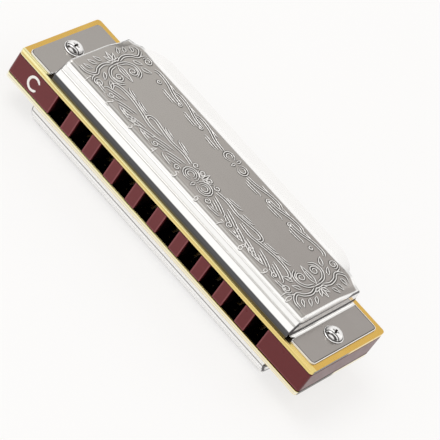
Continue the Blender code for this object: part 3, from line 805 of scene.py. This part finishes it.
def make_cover(name, node, seat, up, finish):
    """A cover pressed from one sheet. It starts as a grid and each point is moved to its place."""
    section = cover_section()
    lengths = [0.0]
    for near, far in zip(section, section[1:]):
        lengths.append(lengths[-1] + math.dist(near, far))
    lengths = [length / lengths[-1] for length in lengths]
    half = cover_stations()
    stations = [(-x, share) for x, share in half] + [(0.0, 1.0)] + half[::-1]
    columns, rows = len(stations), len(section)
    bpy.ops.mesh.primitive_grid_add(x_subdivisions=columns - 1, y_subdivisions=rows - 1, size=1)
    cover = bpy.context.object
    cover.name = name
    table = [cover_row(x, share, section, lengths) for x, share in stations]
    cells = {}
    for vertex in cover.data.vertices:
        column = round((vertex.co.x + 0.5) * (columns - 1))
        row = round((vertex.co.y + 0.5) * (rows - 1))
        cells[vertex.index] = (column, row)
        across, height = table[column][row]
        vertex.co = Vector((stations[column][0], FRONT + across, seat + up * height)) * MM
    cut_notches(cover, cells, stations)
    if up < 0:
        in_edit_mode(cover, (bpy.ops.mesh.flip_normals, {}))
    modify(cover, "SOLIDIFY", thickness=SHEET * MM, offset=-1, use_even_offset=True)
    bevel_edges(cover, RIM_BEVEL, 50)
    settle(cover)
    return dress(cover, finish, "cover", node)


def cut_notches(cover, cells, stations):
    """Open both front corners, where the front wall, the end wall and the flange would meet."""
    slit = {i for i, (x, _) in enumerate(stations) if NOTCH_INNER <= abs(x) <= NOTCH_OUTER + 0.01}
    select_only(cover)
    bpy.ops.object.mode_set(mode="EDIT")
    bpy.ops.mesh.select_mode(type="FACE")
    bpy.ops.mesh.select_all(action="DESELECT")
    bpy.ops.object.mode_set(mode="OBJECT")
    for face in cover.data.polygons:
        corners = [cells[i] for i in face.vertices]
        face.select = all(column in slit and row <= len(NOTCH_HEIGHTS) for column, row in corners)
    bpy.ops.object.mode_set(mode="EDIT")
    bpy.ops.mesh.delete(type="FACE")
    bpy.ops.object.mode_set(mode="OBJECT")


def copy_of_node(node, name):
    """A new piece from a frame node's own mesh, merged and freed of flat edges."""
    piece = bpy.data.objects.new(name, frame["nodes"][node].data.copy())
    bpy.context.collection.objects.link(piece)
    merge = (bpy.ops.mesh.remove_doubles, {"threshold": 1e-6})
    flatten = (bpy.ops.mesh.dissolve_limited, {"angle_limit": math.radians(1)})
    in_edit_mode(piece, merge, flatten)
    return piece


def make_plate(node, finish):
    """A reed plate whose outer edges are broken by a fine bevel."""
    plate = copy_of_node(node, node + "_finished")
    bevel_edges(plate, 0.13, 60, 3)
    settle(plate)
    return dress(plate, finish, "reed_plate", node)


def make_comb(finish):
    """The comb, with its edges broken by a fine bevel."""
    comb = copy_of_node("comb", "comb_finished")
    bevel_edges(comb, 0.1, 40, 2)
    settle(comb)
    return dress(comb, finish, "comb", "comb")


def turned(name, profile, sides=48):
    """A closed solid turned about Z from (radius, height) points that start and end on the axis."""
    mesh = bpy.data.meshes.new(name)
    points = [(radius * MM, 0, height * MM) for radius, height in profile]
    mesh.from_pydata(points, [(i, i + 1) for i in range(len(points) - 1)], [])
    piece = bpy.data.objects.new(name, mesh)
    bpy.context.collection.objects.link(piece)
    spin = {"steps": sides, "angle": math.tau, "center": (0, 0, 0), "axis": (0, 0, 1)}
    in_edit_mode(
        piece,
        (bpy.ops.mesh.spin, spin),
        (bpy.ops.mesh.select_all, {"action": "SELECT"}),
        (bpy.ops.mesh.remove_doubles, {"threshold": 1e-7}),
        (bpy.ops.mesh.normals_make_consistent, {"inside": False}),
    )
    return piece


def thread_profile(radius, low, high, pitch=0.4, depth=0.12):
    """The (radius, height) points of a threaded stretch, from low to high."""
    points = []
    turns = int((high - low) / pitch)
    for i in range(turns):
        points.append((radius - depth, low + i * pitch))
        points.append((radius, low + (i + 0.5) * pitch))
    points.append((radius - depth, low + turns * pitch))
    return points


def cross_tool(span, width, depth, top):
    """A tapered cross that cuts a screwdriver recess."""
    bpy.ops.mesh.primitive_plane_add(size=width * MM, location=(0, 0, top * MM))
    tool = bpy.context.object
    select_only(tool)
    bpy.ops.object.transform_apply(location=True)
    bpy.ops.object.mode_set(mode="EDIT")
    bpy.ops.mesh.select_mode(type="EDGE")
    for x, y in ((1, 0), (-1, 0), (0, 1), (0, -1)):
        bpy.ops.mesh.select_all(action="DESELECT")
        bpy.ops.object.mode_set(mode="OBJECT")
        for edge in tool.data.edges:
            ends = [tool.data.vertices[i].co / MM for i in edge.vertices]
            near = max(abs(end[axis]) for end in ends for axis in (0, 1)) < width / 2 + 0.01
            edge.select = near and all(abs(end.x * x + end.y * y - width / 2) < 0.01 for end in ends)
        bpy.ops.object.mode_set(mode="EDIT")
        reach = (span - width) / 2 * MM
        bpy.ops.mesh.extrude_edges_move(TRANSFORM_OT_translate={"value": (x * reach, y * reach, 0)})
    bpy.ops.mesh.select_mode(type="FACE")
    bpy.ops.mesh.select_all(action="SELECT")
    bpy.ops.mesh.extrude_region_move(TRANSFORM_OT_translate={"value": (0, 0, -depth * MM)})
    bpy.ops.transform.resize(value=(RECESS_TAPER, RECESS_TAPER, 1))
    bpy.ops.mesh.select_all(action="SELECT")
    bpy.ops.mesh.normals_make_consistent(inside=False)
    bpy.ops.object.mode_set(mode="OBJECT")
    return tool


def make_cover_screw(name):
    """A screw with a collar, a domed head with a cross recess, and a threaded end."""
    low, high = box_mm(name)
    middle = (low + high) / 2
    seat = UPPER_SEAT + SHEET + CLAMP_GAP
    tip, crown = low.z - seat, high.z - seat + DOME_EXTRA
    profile = [(0, tip)] + thread_profile(COVER_SCREW_SHANK, tip + 0.15, tip + 3.0)
    profile += [(COVER_SCREW_SHANK, tip + 3.4), (COVER_SCREW_SHANK, 0)]
    profile += [(COLLAR_RADIUS - 0.06, 0), (COLLAR_RADIUS, 0.06), (COLLAR_RADIUS - 0.04, 0.2)]
    profile += [(COLLAR_RADIUS - 0.16, 0.27), (DOME_RADIUS + 0.12, 0.25), (DOME_RADIUS, GROOVE_FLOOR)]
    steps = 10
    for step in range(1, steps + 1):
        turn = math.pi / 2 * step / (steps + 1)
        rise = GROOVE_FLOOR + (crown - GROOVE_FLOOR) * math.sin(turn) ** DOME_POWER
        profile.append((DOME_RADIUS * math.cos(turn) ** DOME_POWER, rise))
    profile.append((0, crown))
    screw = turned(name + "_finished", profile)
    carve(screw, cross_tool(RECESS_SPAN, RECESS_WIDTH, RECESS_DEPTH, crown + 0.05))
    bevel_edges(screw, 0.04, 50, 2)
    seat_middle = Vector((middle.x, middle.y, seat))
    screw.location = seat_middle * MM
    screw.rotation_euler.z = math.radians(COVER_SCREW_TURNS[name])
    settle(screw)
    return dress(screw, cover_screw_finish(name, seat_middle, crown), "screw", name)


def make_nut(name, finish):
    """A hexagon nut with chamfered corners."""
    low, high = box_mm(name)
    middle = (low + high) / 2
    tall, corner = high.z - low.z, (high.y - low.y) / 2
    bpy.ops.mesh.primitive_cylinder_add(vertices=6, radius=corner * MM, depth=tall * MM)
    nut = bpy.context.object
    nut.name = name + "_finished"
    flat = corner * math.cos(math.pi / 6)
    half = tall / 2
    cone = [(0, -half), (flat * 0.96, -half), (corner * 1.02, -half + NUT_CHAMFER)]
    cone += [(corner * 1.02, half - NUT_CHAMFER), (flat * 0.96, half), (0, half)]
    carve(nut, turned("nut_chamfer", cone), "INTERSECT")
    bore = [(0, -half - 1), (NUT_BORE_MOUTH, -half - 1), (NUT_BORE_MOUTH, -half)]
    bore += [(NUT_BORE, -half + 0.12), (NUT_BORE, half + 1), (0, half + 1)]
    carve(nut, turned("nut_bore", bore))
    bevel_edges(nut, 0.04, 40, 2)
    nut.location = middle * MM
    settle(nut)
    return dress(nut, finish, "screw", name)


def make_plate_screw(name, finish):
    """A small slotted screw that holds both reed plates to the comb."""
    low, high = box_mm(name)
    middle = (low + high) / 2
    seat = upper_plate_high.z + CLAMP_GAP
    tip, radius, crown = low.z - seat, (high.x - low.x) / 2, high.z - seat
    profile = [(0, tip)] + thread_profile(PLATE_SCREW_SHANK, tip + 0.1, tip + 3, 0.3, 0.08)
    profile += [(PLATE_SCREW_SHANK, tip + 3.3), (PLATE_SCREW_SHANK, 0), (radius - 0.05, 0)]
    profile += [(radius, 0.05), (radius, crown * 0.45), (radius * 0.92, crown * 0.78)]
    profile += [(radius * 0.7, crown), (0, crown)]
    screw = turned(name + "_finished", profile, 32)
    bpy.ops.mesh.primitive_cube_add(size=MM, location=(0, 0, crown * MM))
    slot = bpy.context.object
    slot.scale = (radius * 3, PLATE_SCREW_SLOT, 0.66)
    slot.rotation_euler.z = math.radians(30)
    settle(slot)
    carve(screw, slot)
    bevel_edges(screw, 0.025, 50, 1)
    screw.location = Vector((middle.x, middle.y, seat)) * MM
    settle(screw)
    return dress(screw, finish, "screw", name)


def make_rivet(name, finish):
    """A turned rivet with a domed head under the reed's pad."""
    low, high = box_mm(name)
    middle = (low + high) / 2
    radius, tail = (high.x - low.x) / 2, high.z - low.z
    profile = [(0, 0), (radius * 0.35, 0.02), (radius * 0.68, 0.09), (radius * 0.9, 0.2)]
    profile += [(radius, 0.32), (radius, RIVET_HEAD), (RIVET_SHANK, RIVET_HEAD)]
    profile += [(RIVET_SHANK, tail - 0.04), (RIVET_SHANK - 0.05, tail), (0, tail)]
    rivet = turned(name + "_finished", profile, 24)
    rivet.location = Vector((middle.x, middle.y, low.z)) * MM
    settle(rivet)
    return dress(rivet, finish, "rivet", name)


def make_reed(name, finish):
    """A reed with its edges dressed, cut across at even steps from its joint to its tip."""
    joint = next(joint for joint in frame["joints"] if joint["child"] == name)
    root = Vector(joint["pos_m"])
    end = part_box(name)[1].y
    reed = copy_of_node(name, name + "_finished")
    bevel_edges(reed, 0.03, 50, 1)
    for i in range(1, REED_CUTS):
        place = (root.x, root.y + (end - root.y) * i / REED_CUTS, root.z)
        in_edit_mode(reed, (bpy.ops.mesh.bisect, {"plane_co": place, "plane_no": (0, 1, 0)}))
    settle(reed)
    dress(reed, finish, "reed", name, body=None)
    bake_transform(reed)
    return reed


def wires(name, lines, radius, ends=0.5, sides=1):
    """Round lines through lists of places, thinner at their ends, as one mesh."""
    taper_points = 3
    data = bpy.data.curves.new(name, "CURVE")
    data.dimensions = "3D"
    data.bevel_depth = radius * MM
    data.bevel_resolution = sides
    data.use_fill_caps = True
    for line in lines:
        spline = data.splines.new("POLY")
        spline.points.add(len(line) - 1)
        for i, (point, place) in enumerate(zip(spline.points, line)):
            point.co = (*(Vector(place) * MM), 1)
            from_end = min(i, len(line) - 1 - i) / taper_points
            point.radius = min(1, ends + (1 - ends) * from_end)
    piece = bpy.data.objects.new(name, data)
    bpy.context.collection.objects.link(piece)
    select_only(piece)
    bpy.ops.object.convert(target="MESH")
    bpy.ops.object.shade_smooth()
    return bpy.context.object


def smooth_line(corners, step=0.3):
    """Points along a smooth curve that passes through corners."""
    first = tuple(2 * a - b for a, b in zip(corners[0], corners[1]))
    last = tuple(2 * a - b for a, b in zip(corners[-1], corners[-2]))
    knots = [first, *corners, last]
    points = []
    for before, start, end, after in zip(knots, knots[1:], knots[2:], knots[3:]):
        count = max(2, round(math.dist(start, end) / step))
        for i in range(count):
            t = i / count
            weights = (
                (-t + 2 * t**2 - t**3) / 2,
                (2 - 5 * t**2 + 3 * t**3) / 2,
                (t + 4 * t**2 - 3 * t**3) / 2,
                (t**3 - t**2) / 2,
            )
            near_knots = (before, start, end, after)
            points.append(tuple(sum(w * k[a] for w, k in zip(weights, near_knots)) for a in (0, 1)))
    return points + [tuple(corners[-1])]


def beside(points, gap):
    """A line that keeps a gap to the left of a line."""
    moved = []
    for i, (x, v) in enumerate(points):
        near, far = points[max(i - 1, 0)], points[min(i + 1, len(points) - 1)]
        run = math.dist(near, far)
        moved.append((x - gap * (far[1] - near[1]) / run, v + gap * (far[0] - near[0]) / run))
    return moved


def sweep(start, heading, length, bend, hook=0.0, step=0.3):
    """A line from start that turns steadily by bend, and by hook over its last fifth, in turns."""
    count = max(5, round(length / step))
    x, v = start
    points = [start]
    for i in range(count):
        share = (i + 0.5) / count
        curl = max(share - 0.8, 0) / 0.2
        angle = math.tau * (heading + bend * share + hook * curl)
        x += length / count * math.cos(angle)
        v += length / count * math.sin(angle)
        points.append((x, v))
    return points


def spiral(eye, radius, start, turns, core=0.25):
    """A line that winds in round an eye. Angles are in turns, anticlockwise."""
    count = max(8, round(abs(turns) * (8 + 8 * radius)))
    points = []
    for i in range(count + 1):
        share = i / count
        angle = math.tau * (start + turns * share)
        reach = core + (radius - core) * (1 - share)
        points.append((eye[0] + reach * math.cos(angle), eye[1] + reach * math.sin(angle)))
    return points


def leaf(base, tip, width, bow=0.0):
    """A pointed leaf as its two edges, with a vein if it is wide. Bow bends it to the left."""
    run = math.dist(base, tip)
    along = ((tip[0] - base[0]) / run, (tip[1] - base[1]) / run)

    def place(share, aside):
        reach = run * share
        x = base[0] + along[0] * reach - along[1] * aside
        return (x, base[1] + along[1] * reach + along[0] * aside)

    lines = [
        smooth_line([base, place(0.3, side * width + bow), place(0.68, side * width * 0.7 + bow), tip])
        for side in (-1, 1)
    ]
    if width > 0.6:
        lines.append(smooth_line([place(0.2, 0), place(0.45, bow), place(0.7, bow)]))
    return lines


def fan(base, aim, spread, length, count, width):
    """Leaves that open from one point, the middle one longest. Angles are in turns."""
    lines = []
    for i in range(count):
        share = 2 * i / (count - 1) - 1
        angle = math.tau * (aim + spread * share / 2)
        reach = length * (1 - 0.3 * abs(share))
        root = (base[0] + 0.3 * math.cos(angle), base[1] + 0.3 * math.sin(angle))
        tip = (base[0] + reach * math.cos(angle), base[1] + reach * math.sin(angle))
        lines += leaf(root, tip, width, 0.25 * share)
    return lines


def shell(eye, reach, start, span, count, pitch):
    """Arcs nested round one eye. Angles are in turns."""
    lines = []
    for i in range(count):
        radius = reach - pitch * i
        angles = [math.tau * (start + span * j / 12) for j in range(13)]
        lines.append([(eye[0] + radius * math.cos(a), eye[1] + radius * math.sin(a)) for a in angles])
    return lines


def flow(start, heading, length, bend, hook, count, gap):
    """Strokes that run side by side, each a little shorter at both ends than the one before."""
    first = sweep(start, heading, length, bend, hook)
    return [beside(first, gap * i)[2 * i : len(first) - 3 * i] for i in range(count)]


def front_band():
    """Right half of the wide band: shells at the middle, then long stems over flowing strokes."""
    stem = [(4.3, 9.6), (7.6, 10.1), (11.4, 9.7), (15.2, 10.3), (17.6, 10.7), (18.9, 10.2), (18.5, 9.2)]
    tail = [(13.4, 8.5), (17.2, 8.1), (21.0, 9.0), (24.8, 9.7), (28.2, 9.5), (29.6, 8.7), (29.2, 7.8)]
    lines = []
    for corners in (stem, tail):
        line = smooth_line(corners)
        lines += [line, beside(line, 0.74)]
    lines += shell((2.3, 7.6), 2.1, 0.55, -0.92, 3, 0.62)
    lines += [spiral((1.3, 10.7), 1.0, 0.0, -1.2, 0.4), spiral((3.6, 10.9), 0.9, 0.5, 1.1, 0.3)]
    low_strokes = [(4.9, 8.6, 4), (9.1, 8.8, 4), (13.2, 7.3, 3)]
    low_strokes += [(17.1, 6.9, 3), (20.9, 7.8, 4), (25.0, 8.3, 4)]
    for x, v, count in low_strokes:
        lines += flow((x, v), -0.03, 6.4, -0.06, -0.17, count, -0.76)
    for x, v, length in ((6.6, 11.2, 4.8), (11.4, 10.9, 4.2), (19.9, 10.2, 4.4), (24.2, 10.8, 3.8)):
        lines += flow((x, v), 0.01, length, 0.05, 0.16, 2, 0.64)
    for x, v, turn in ((5.2, 5.5, 0.4), (12.7, 5.5, 0.9), (19.9, 5.4, 0.4), (27.9, 5.4, 0.9)):
        lines += [spiral((x, v), 0.95, turn, -1.3, 0.25)]
        lines += flow((x + 0.9, 4.35), 0.0, 4.1, 0.05, 0.17, 2, 0.66)
    return lines


def back_band():
    """Right half of the narrow band: long strokes that start one beside the other."""
    lines = shell((2.3, 21.9), 1.45, 0.5, -0.9, 2, 0.66)
    for x in (4.1, 11.4, 18.7):
        stem = smooth_line([(x, 21.3), (x + 3.0, 21.7), (x + 6.4, 22.9), (x + 9.4, 23.2), (x + 10.6, 22.6)])
        lines += [stem, beside(stem, 0.68)]
        lines += flow((x + 0.6, 20.6), 0.0, 5.2, 0.02, -0.12, 2, -0.7)
        lines += flow((x + 3.4, 23.5), -0.01, 3.4, 0.03, 0.12, 1, 0.6)
        lines += [spiral((x + 7.6, 21.3), 0.7, 0.3, 1.1, 0.2)]
    return lines


def end_motif():
    """A palmette tied between two scrolls, with a leafy stem to each corner."""
    tie, middle = 34.9, 14.3
    lines = leaf((tie - 0.6, middle), (tie - 6.2, middle), 0.72)
    lines += fan((tie + 0.5, middle), 0.0, 0.40, 3.1, 5, 0.36)
    for side in (-1, 1):

        def at(x, v):
            return (tie + x, middle + side * v)

        heart = smooth_line([at(-0.3, 0.9), at(-0.9, 3.2), at(-2.7, 4.7), at(-5.0, 4.4), at(-6.1, 2.6)])
        lines += [heart, beside(heart, side * 0.64)]
        lines += [spiral(at(-3.7, 2.5), 1.35, 0.2 * side, side * 1.5, 0.35)]
        stem = [at(0.5, 1.4), at(1.1, 3.6), at(0.6, 6.0), at(-0.4, 7.6), at(0.8, 9.3), at(2.8, 9.6)]
        stem = smooth_line(stem)
        lines += [stem, beside(stem, side * 0.64)]
        for base, tip, width, bow in (
            ((-3.6, 5.7), (-6.0, 7.2), 0.5, 0.15),
            ((-1.1, 5.2), (-3.0, 6.9), 0.42, 0.1),
            ((1.9, 3.0), (3.7, 4.5), 0.42, 0.1),
            ((1.6, 5.1), (3.5, 6.6), 0.42, 0.1),
            ((0.9, 7.3), (2.9, 8.6), 0.38, 0.1),
        ):
            lines += leaf(at(*base), at(*tip), width, side * bow)
        lines += [spiral(at(-2.9, 8.9), 1.3, -0.1 * side, side * 1.6, 0.35)]
        lines += [smooth_line([at(-0.9, 7.9), at(-1.2, 9.4), at(-2.2, 10.5), at(-3.6, 10.7)])]
    return lines + [[(tie + x, middle - 1.3 + 0.325 * i) for i in range(9)] for x in (-0.35, 0.35)]


def ornament_lines():
    """Every line of the relief, as (x, across) points."""
    half = front_band() + back_band() + end_motif()
    lines = half + [[(-x, v) for x, v in line] for line in half]
    lines += fan((0, 9.0), 0.25, 0.22, 3.2, 3, 0.34) + leaf((0, 6.6), (0, 4.8), 0.36)
    lines += leaf((0, 22.2), (0, 23.9), 0.36) + leaf((0, 21.6), (0, 20.1), 0.3)
    kept = [[point for point in line if ORNAMENT_FRONT < point[1] < ORNAMENT_BACK] for line in lines]
    return [line for line in kept if len(line) > 2]


def make_relief(bright, shade):
    """Raised lines on the cover's top, each on a painted shadow band that is a little wider and shifted to
    one side.
    """
    lines = ornament_lines()
    for name, finish, radius, flat, move, sink in (
        ("cover_relief_ridges", bright, RIDGE_RADIUS, RIDGE_FLAT, (0, 0), 0.02),
        ("cover_relief_painted_shadows", shade, SHADOW_BAND_RADIUS, SHADOW_BAND_FLAT, SHADOW_BAND_SHIFT, 0.0),
    ):
        placed = [[(x + move[0], FRONT + v + move[1], 0) for x, v in line] for line in lines]
        piece = wires(name, placed, radius)
        for vertex in piece.data.vertices:
            x, y, z = vertex.co / MM
            vertex.co.z = (COVER_TOP - corner_fall(x, y - FRONT) - sink + z * flat) * MM
        dress(piece, finish, "cover")


def on_section(section, along):
    """A place on a section, at a distance along it."""
    gone = 0.0
    for near, far in zip(section, section[1:]):
        run = math.dist(near, far)
        if gone + run >= along:
            break
        gone += run
    share = (along - gone) / run
    across = near[0] + (far[0] - near[0]) * share
    height = near[1] + (far[1] - near[1]) * share
    return across, height


def ring(middle, half_width, half_height, count=16):
    """A closed oval line."""
    turns = [math.tau * i / count for i in range(count + 1)]
    return [(middle[0] + half_width * math.cos(a), middle[1] + half_height * math.sin(a)) for a in turns]


def digit_lines(digit):
    """The strokes of a figure one unit wide and two tall."""
    hook = [(0.85, 1.85), (0.35, 1.6), (0.05, 0.8), (0.3, 0.05)]
    hook += [(0.8, 0.15), (0.9, 0.75), (0.5, 1.1), (0.1, 0.8)]
    strokes = {
        "0": [ring((0.5, 1.0), 0.45, 1.0)],
        "1": [[(0.15, 1.6), (0.5, 2.0)], [(0.5, 2.0), (0.5, 0.0)]],
        "2": [smooth_line([(0.05, 1.5), (0.4, 2.0), (0.9, 1.6), (0.6, 0.9), (0.0, 0.0)]), [(0, 0), (1, 0)]],
        "3": [
            smooth_line([(0.1, 1.75), (0.55, 2.0), (0.85, 1.55), (0.4, 1.1)]),
            smooth_line([(0.4, 1.1), (0.95, 0.6), (0.55, 0.0), (0.05, 0.25)]),
        ],
        "4": [[(0.75, 0.0), (0.75, 2.0)], [(0.75, 2.0), (0.0, 0.6)], [(0.0, 0.6), (1.0, 0.6)]],
        "5": [
            [(0.9, 2.0), (0.2, 2.0)],
            [(0.2, 2.0), (0.1, 1.15)],
            smooth_line([(0.1, 1.15), (0.6, 1.25), (0.95, 0.65), (0.6, 0.05), (0.0, 0.2)]),
        ],
        "6": [smooth_line(hook)],
        "7": [[(0.0, 2.0), (1.0, 2.0)], [(1.0, 2.0), (0.35, 0.0)]],
        "8": [ring((0.5, 1.5), 0.38, 0.45), ring((0.5, 0.53), 0.47, 0.52)],
        "9": [smooth_line([(1 - x, 2 - y) for x, y in hook])],
    }
    return strokes[digit]


def number_strokes():
    """The strokes of the numbers 1 to 10, as (x, height) points, one number above each hole."""
    strokes = []
    for hole in range(HOLES):
        label = str(hole + 1)
        left = (hole - (HOLES - 1) / 2) * HOLE_PITCH - DIGIT_PACE * len(label) / 2
        for place, digit in enumerate(label):
            foot = left + place * DIGIT_PACE
            for stroke in digit_lines(digit):
                fine = smooth_line(stroke, 0.2) if len(stroke) == 2 else stroke
                strokes.append([(foot + x * DIGIT_SCALE, y * DIGIT_SCALE) for x, y in fine])
    return strokes


def make_hole_numbers(bright, shade):
    """Numbers pressed over the cover's shoulder, with a painted shadow line beside each of their strokes,
    shifted to one side.
    """
    section = cover_section()
    corner = next(i for i, point in enumerate(section) if point[1] > RISE - 0.001)
    shoulder = sum(math.dist(a, b) for a, b in zip(section[:corner], section[1 : corner + 1]))
    for name, finish, radius, move, sink in (
        ("hole_number_ridges", bright, DIGIT_RADIUS, (0, 0), 0.02),
        ("hole_number_painted_shadows", shade, DIGIT_SHADOW_RADIUS, DIGIT_SHADOW_SHIFT, 0.04),
    ):
        lines = []
        for stroke in number_strokes():
            line = []
            for x, y in stroke:
                across, height = on_section(section, shoulder + DIGIT_FOOT + y + move[1])
                line.append((x + move[0], FRONT + across, UPPER_SEAT + height - sink))
            lines.append(line)
        dress(wires(name, lines, radius), finish, "cover")


def make_key_letter(finish):
    """The key, C, printed on the comb's front at its low end."""
    turns = [LETTER_GAP + (1 - 2 * LETTER_GAP) * i / 40 for i in range(41)]
    x, z = LETTER_PLACE
    line = [
        (x + LETTER_HALF_WIDTH * math.cos(math.tau * t), 0, z + LETTER_HALF_HEIGHT * math.sin(math.tau * t))
        for t in turns
    ]
    letter = wires("key_letter", [line], LETTER_STROKE / 2, 0.55, 4)
    select_only(letter)
    letter.scale.y = INK / LETTER_STROKE
    letter.location.y = FRONT * MM
    settle(letter)
    return dress(letter, finish, "comb")


def camera_like_the_photo():
    """The photograph's viewpoint, found from the corners of the plates and the mouth holes."""
    place = Vector((0.1730, -0.5120, 0.4344))
    right = Vector((0.65158, 0.59723, 0.46772))
    look = Vector((-0.24222, 0.74809, -0.61781))
    right.normalize()
    look = (look - look.dot(right) * right).normalized()
    up = right.cross(look)
    data = bpy.data.cameras.new("camera")
    data.lens = 248.8
    data.sensor_width = 36
    camera = bpy.data.objects.new("camera", data)
    bpy.context.scene.collection.objects.link(camera)
    turn = Matrix((right, up, -look)).transposed().to_4x4()
    camera.matrix_world = Matrix.Translation(place) @ turn
    bpy.context.scene.camera = camera


def make_floor():
    """A pale floor that looks like lit paper to the camera and in what mirrors it."""
    bpy.ops.mesh.primitive_plane_add(size=3)
    floor = bpy.context.object
    floor.name = "floor"
    made = Finish("floor_paper")
    made.set(base_color=made.mix(made.noise(60), (0.93, 0.93, 0.93), (0.91, 0.91, 0.91)), roughness=0.9)
    camera_ray = made.node("ShaderNodeLightPath", output=0)
    glossy_ray = made.node("ShaderNodeLightPath", output=3)
    seen = 0.75 * camera_ray + glossy_ray
    paper = Value(made, made.shader.outputs[0])
    glow = made.node("ShaderNodeEmission", inputs={"Color": (1.0, 0.99, 0.98, 1), "Strength": 0.97})
    inputs = {0: seen.maths("MINIMUM", seen, 1), 1: paper, 2: glow}
    blend = made.node("ShaderNodeMixShader", inputs=inputs)
    made.join(made.tree.nodes["Material Output"].inputs["Surface"], blend)
    floor.data.materials.append(made.material)


def studio():
    """A soft surround with paler and darker stretches that the polished edges mirror."""
    world = bpy.data.worlds.new("studio")
    bpy.context.scene.world = world
    world.use_nodes = True
    sky = Nodes(world.node_tree)
    x, y, z = sky.axes(sky.node("ShaderNodeTexCoord", output=0))
    back_strip = z.band(0.67, 0.70, 0.83, 0.87) * y.rises(0.2, 0.35)
    front_strip = z.band(0.22, 0.30, 0.58, 0.66) * y.falls(-0.6, -0.4)
    high_front = z.rises(0.64, 0.70) * y.falls(-0.5, -0.3)
    right_strip = x.rises(0.12, 0.3) * y.rises(0.45, 0.6) * z.band(0.06, 0.14, 0.54, 0.60)
    dark_side = abs(x).rises(0.62, 0.80) * z.falls(0.35, 0.6)
    skirting = z.band(0.01, 0.05, 0.16, 0.22) * y.rises(-0.2, 0.2) * x.falls(0, 0.2)
    light = 0.80 - 0.45 * dark_side.greater(1.2 * skirting) + 0.26 * back_strip + 0.26 * front_strip
    light = light + 0.35 * high_front + 0.40 * right_strip
    background = world.node_tree.nodes["Background"]
    sky.join(background.inputs["Strength"], light)
    background.inputs["Color"].default_value = (1.0, 0.99, 0.975, 1)

    lamp_data = bpy.data.lights.new("overhead_softbox", "AREA")
    lamp_data.shape = "RECTANGLE"
    lamp_data.size = 0.7
    lamp_data.size_y = 0.5
    lamp_data.energy = 3.2
    lamp = bpy.data.objects.new("overhead_softbox", lamp_data)
    bpy.context.scene.collection.objects.link(lamp)
    lamp.location = (-0.45, -0.15, 0.9)
    lamp.rotation_euler = (-lamp.location).to_track_quat("-Z", "Y").to_euler()
    bpy.context.scene.view_settings.view_transform = "Standard"


def assemble():
    """Make every piece and give it its finish."""
    cover = cover_finish()
    make_cover("upper_cover_sheet", "upper_cover", UPPER_SEAT, 1, cover)
    make_cover("lower_cover_sheet", "lower_cover", LOWER_SEAT, -1, cover)
    make_comb(comb_finish())
    low, high = upper_plate_low.z, upper_plate_high.z
    make_plate("upper_reed_plate", plate_finish("upper_plate_brass", low, high, low, UPPER_EDGE_COLOURS))
    low, high = lower_plate_low.z, lower_plate_high.z
    make_plate("lower_reed_plate", plate_finish("lower_plate_brass", low, high, high, LOWER_EDGE_COLOURS))
    nickel = screw_finish()
    for side in ("left", "right"):
        make_cover_screw(side + "_cover_screw")
        make_nut(side + "_cover_nut", nickel)
    for i in range(PLATE_SCREWS):
        make_plate_screw(f"plate_screw_{i + 1}", nickel)
    brass = reed_finish()
    rivet = rivet_finish()
    for kind in ("blow", "draw"):
        for i in range(HOLES):
            make_rivet(f"{kind}_rivet_{i + 1}", rivet)
            make_reed(f"{kind}_reed_{i + 1}", brass)
    # Pale, little metallic ridges carry painted highlight; the dark bands beside them are painted shadow
    ridge = relief_finish("relief_ridge", (0.93, 0.91, 0.89), (0.84, 0.82, 0.80), 0.2, 0.35)
    painted_shadow = relief_finish("relief_painted_shadow", (0.19, 0.178, 0.165), (0.125, 0.118, 0.11), 0.3, 1.0)
    make_relief(ridge, painted_shadow)
    make_hole_numbers(ridge, painted_shadow)
    make_key_letter(mark_finish())


camera_like_the_photo()
make_floor()
studio()
assemble()
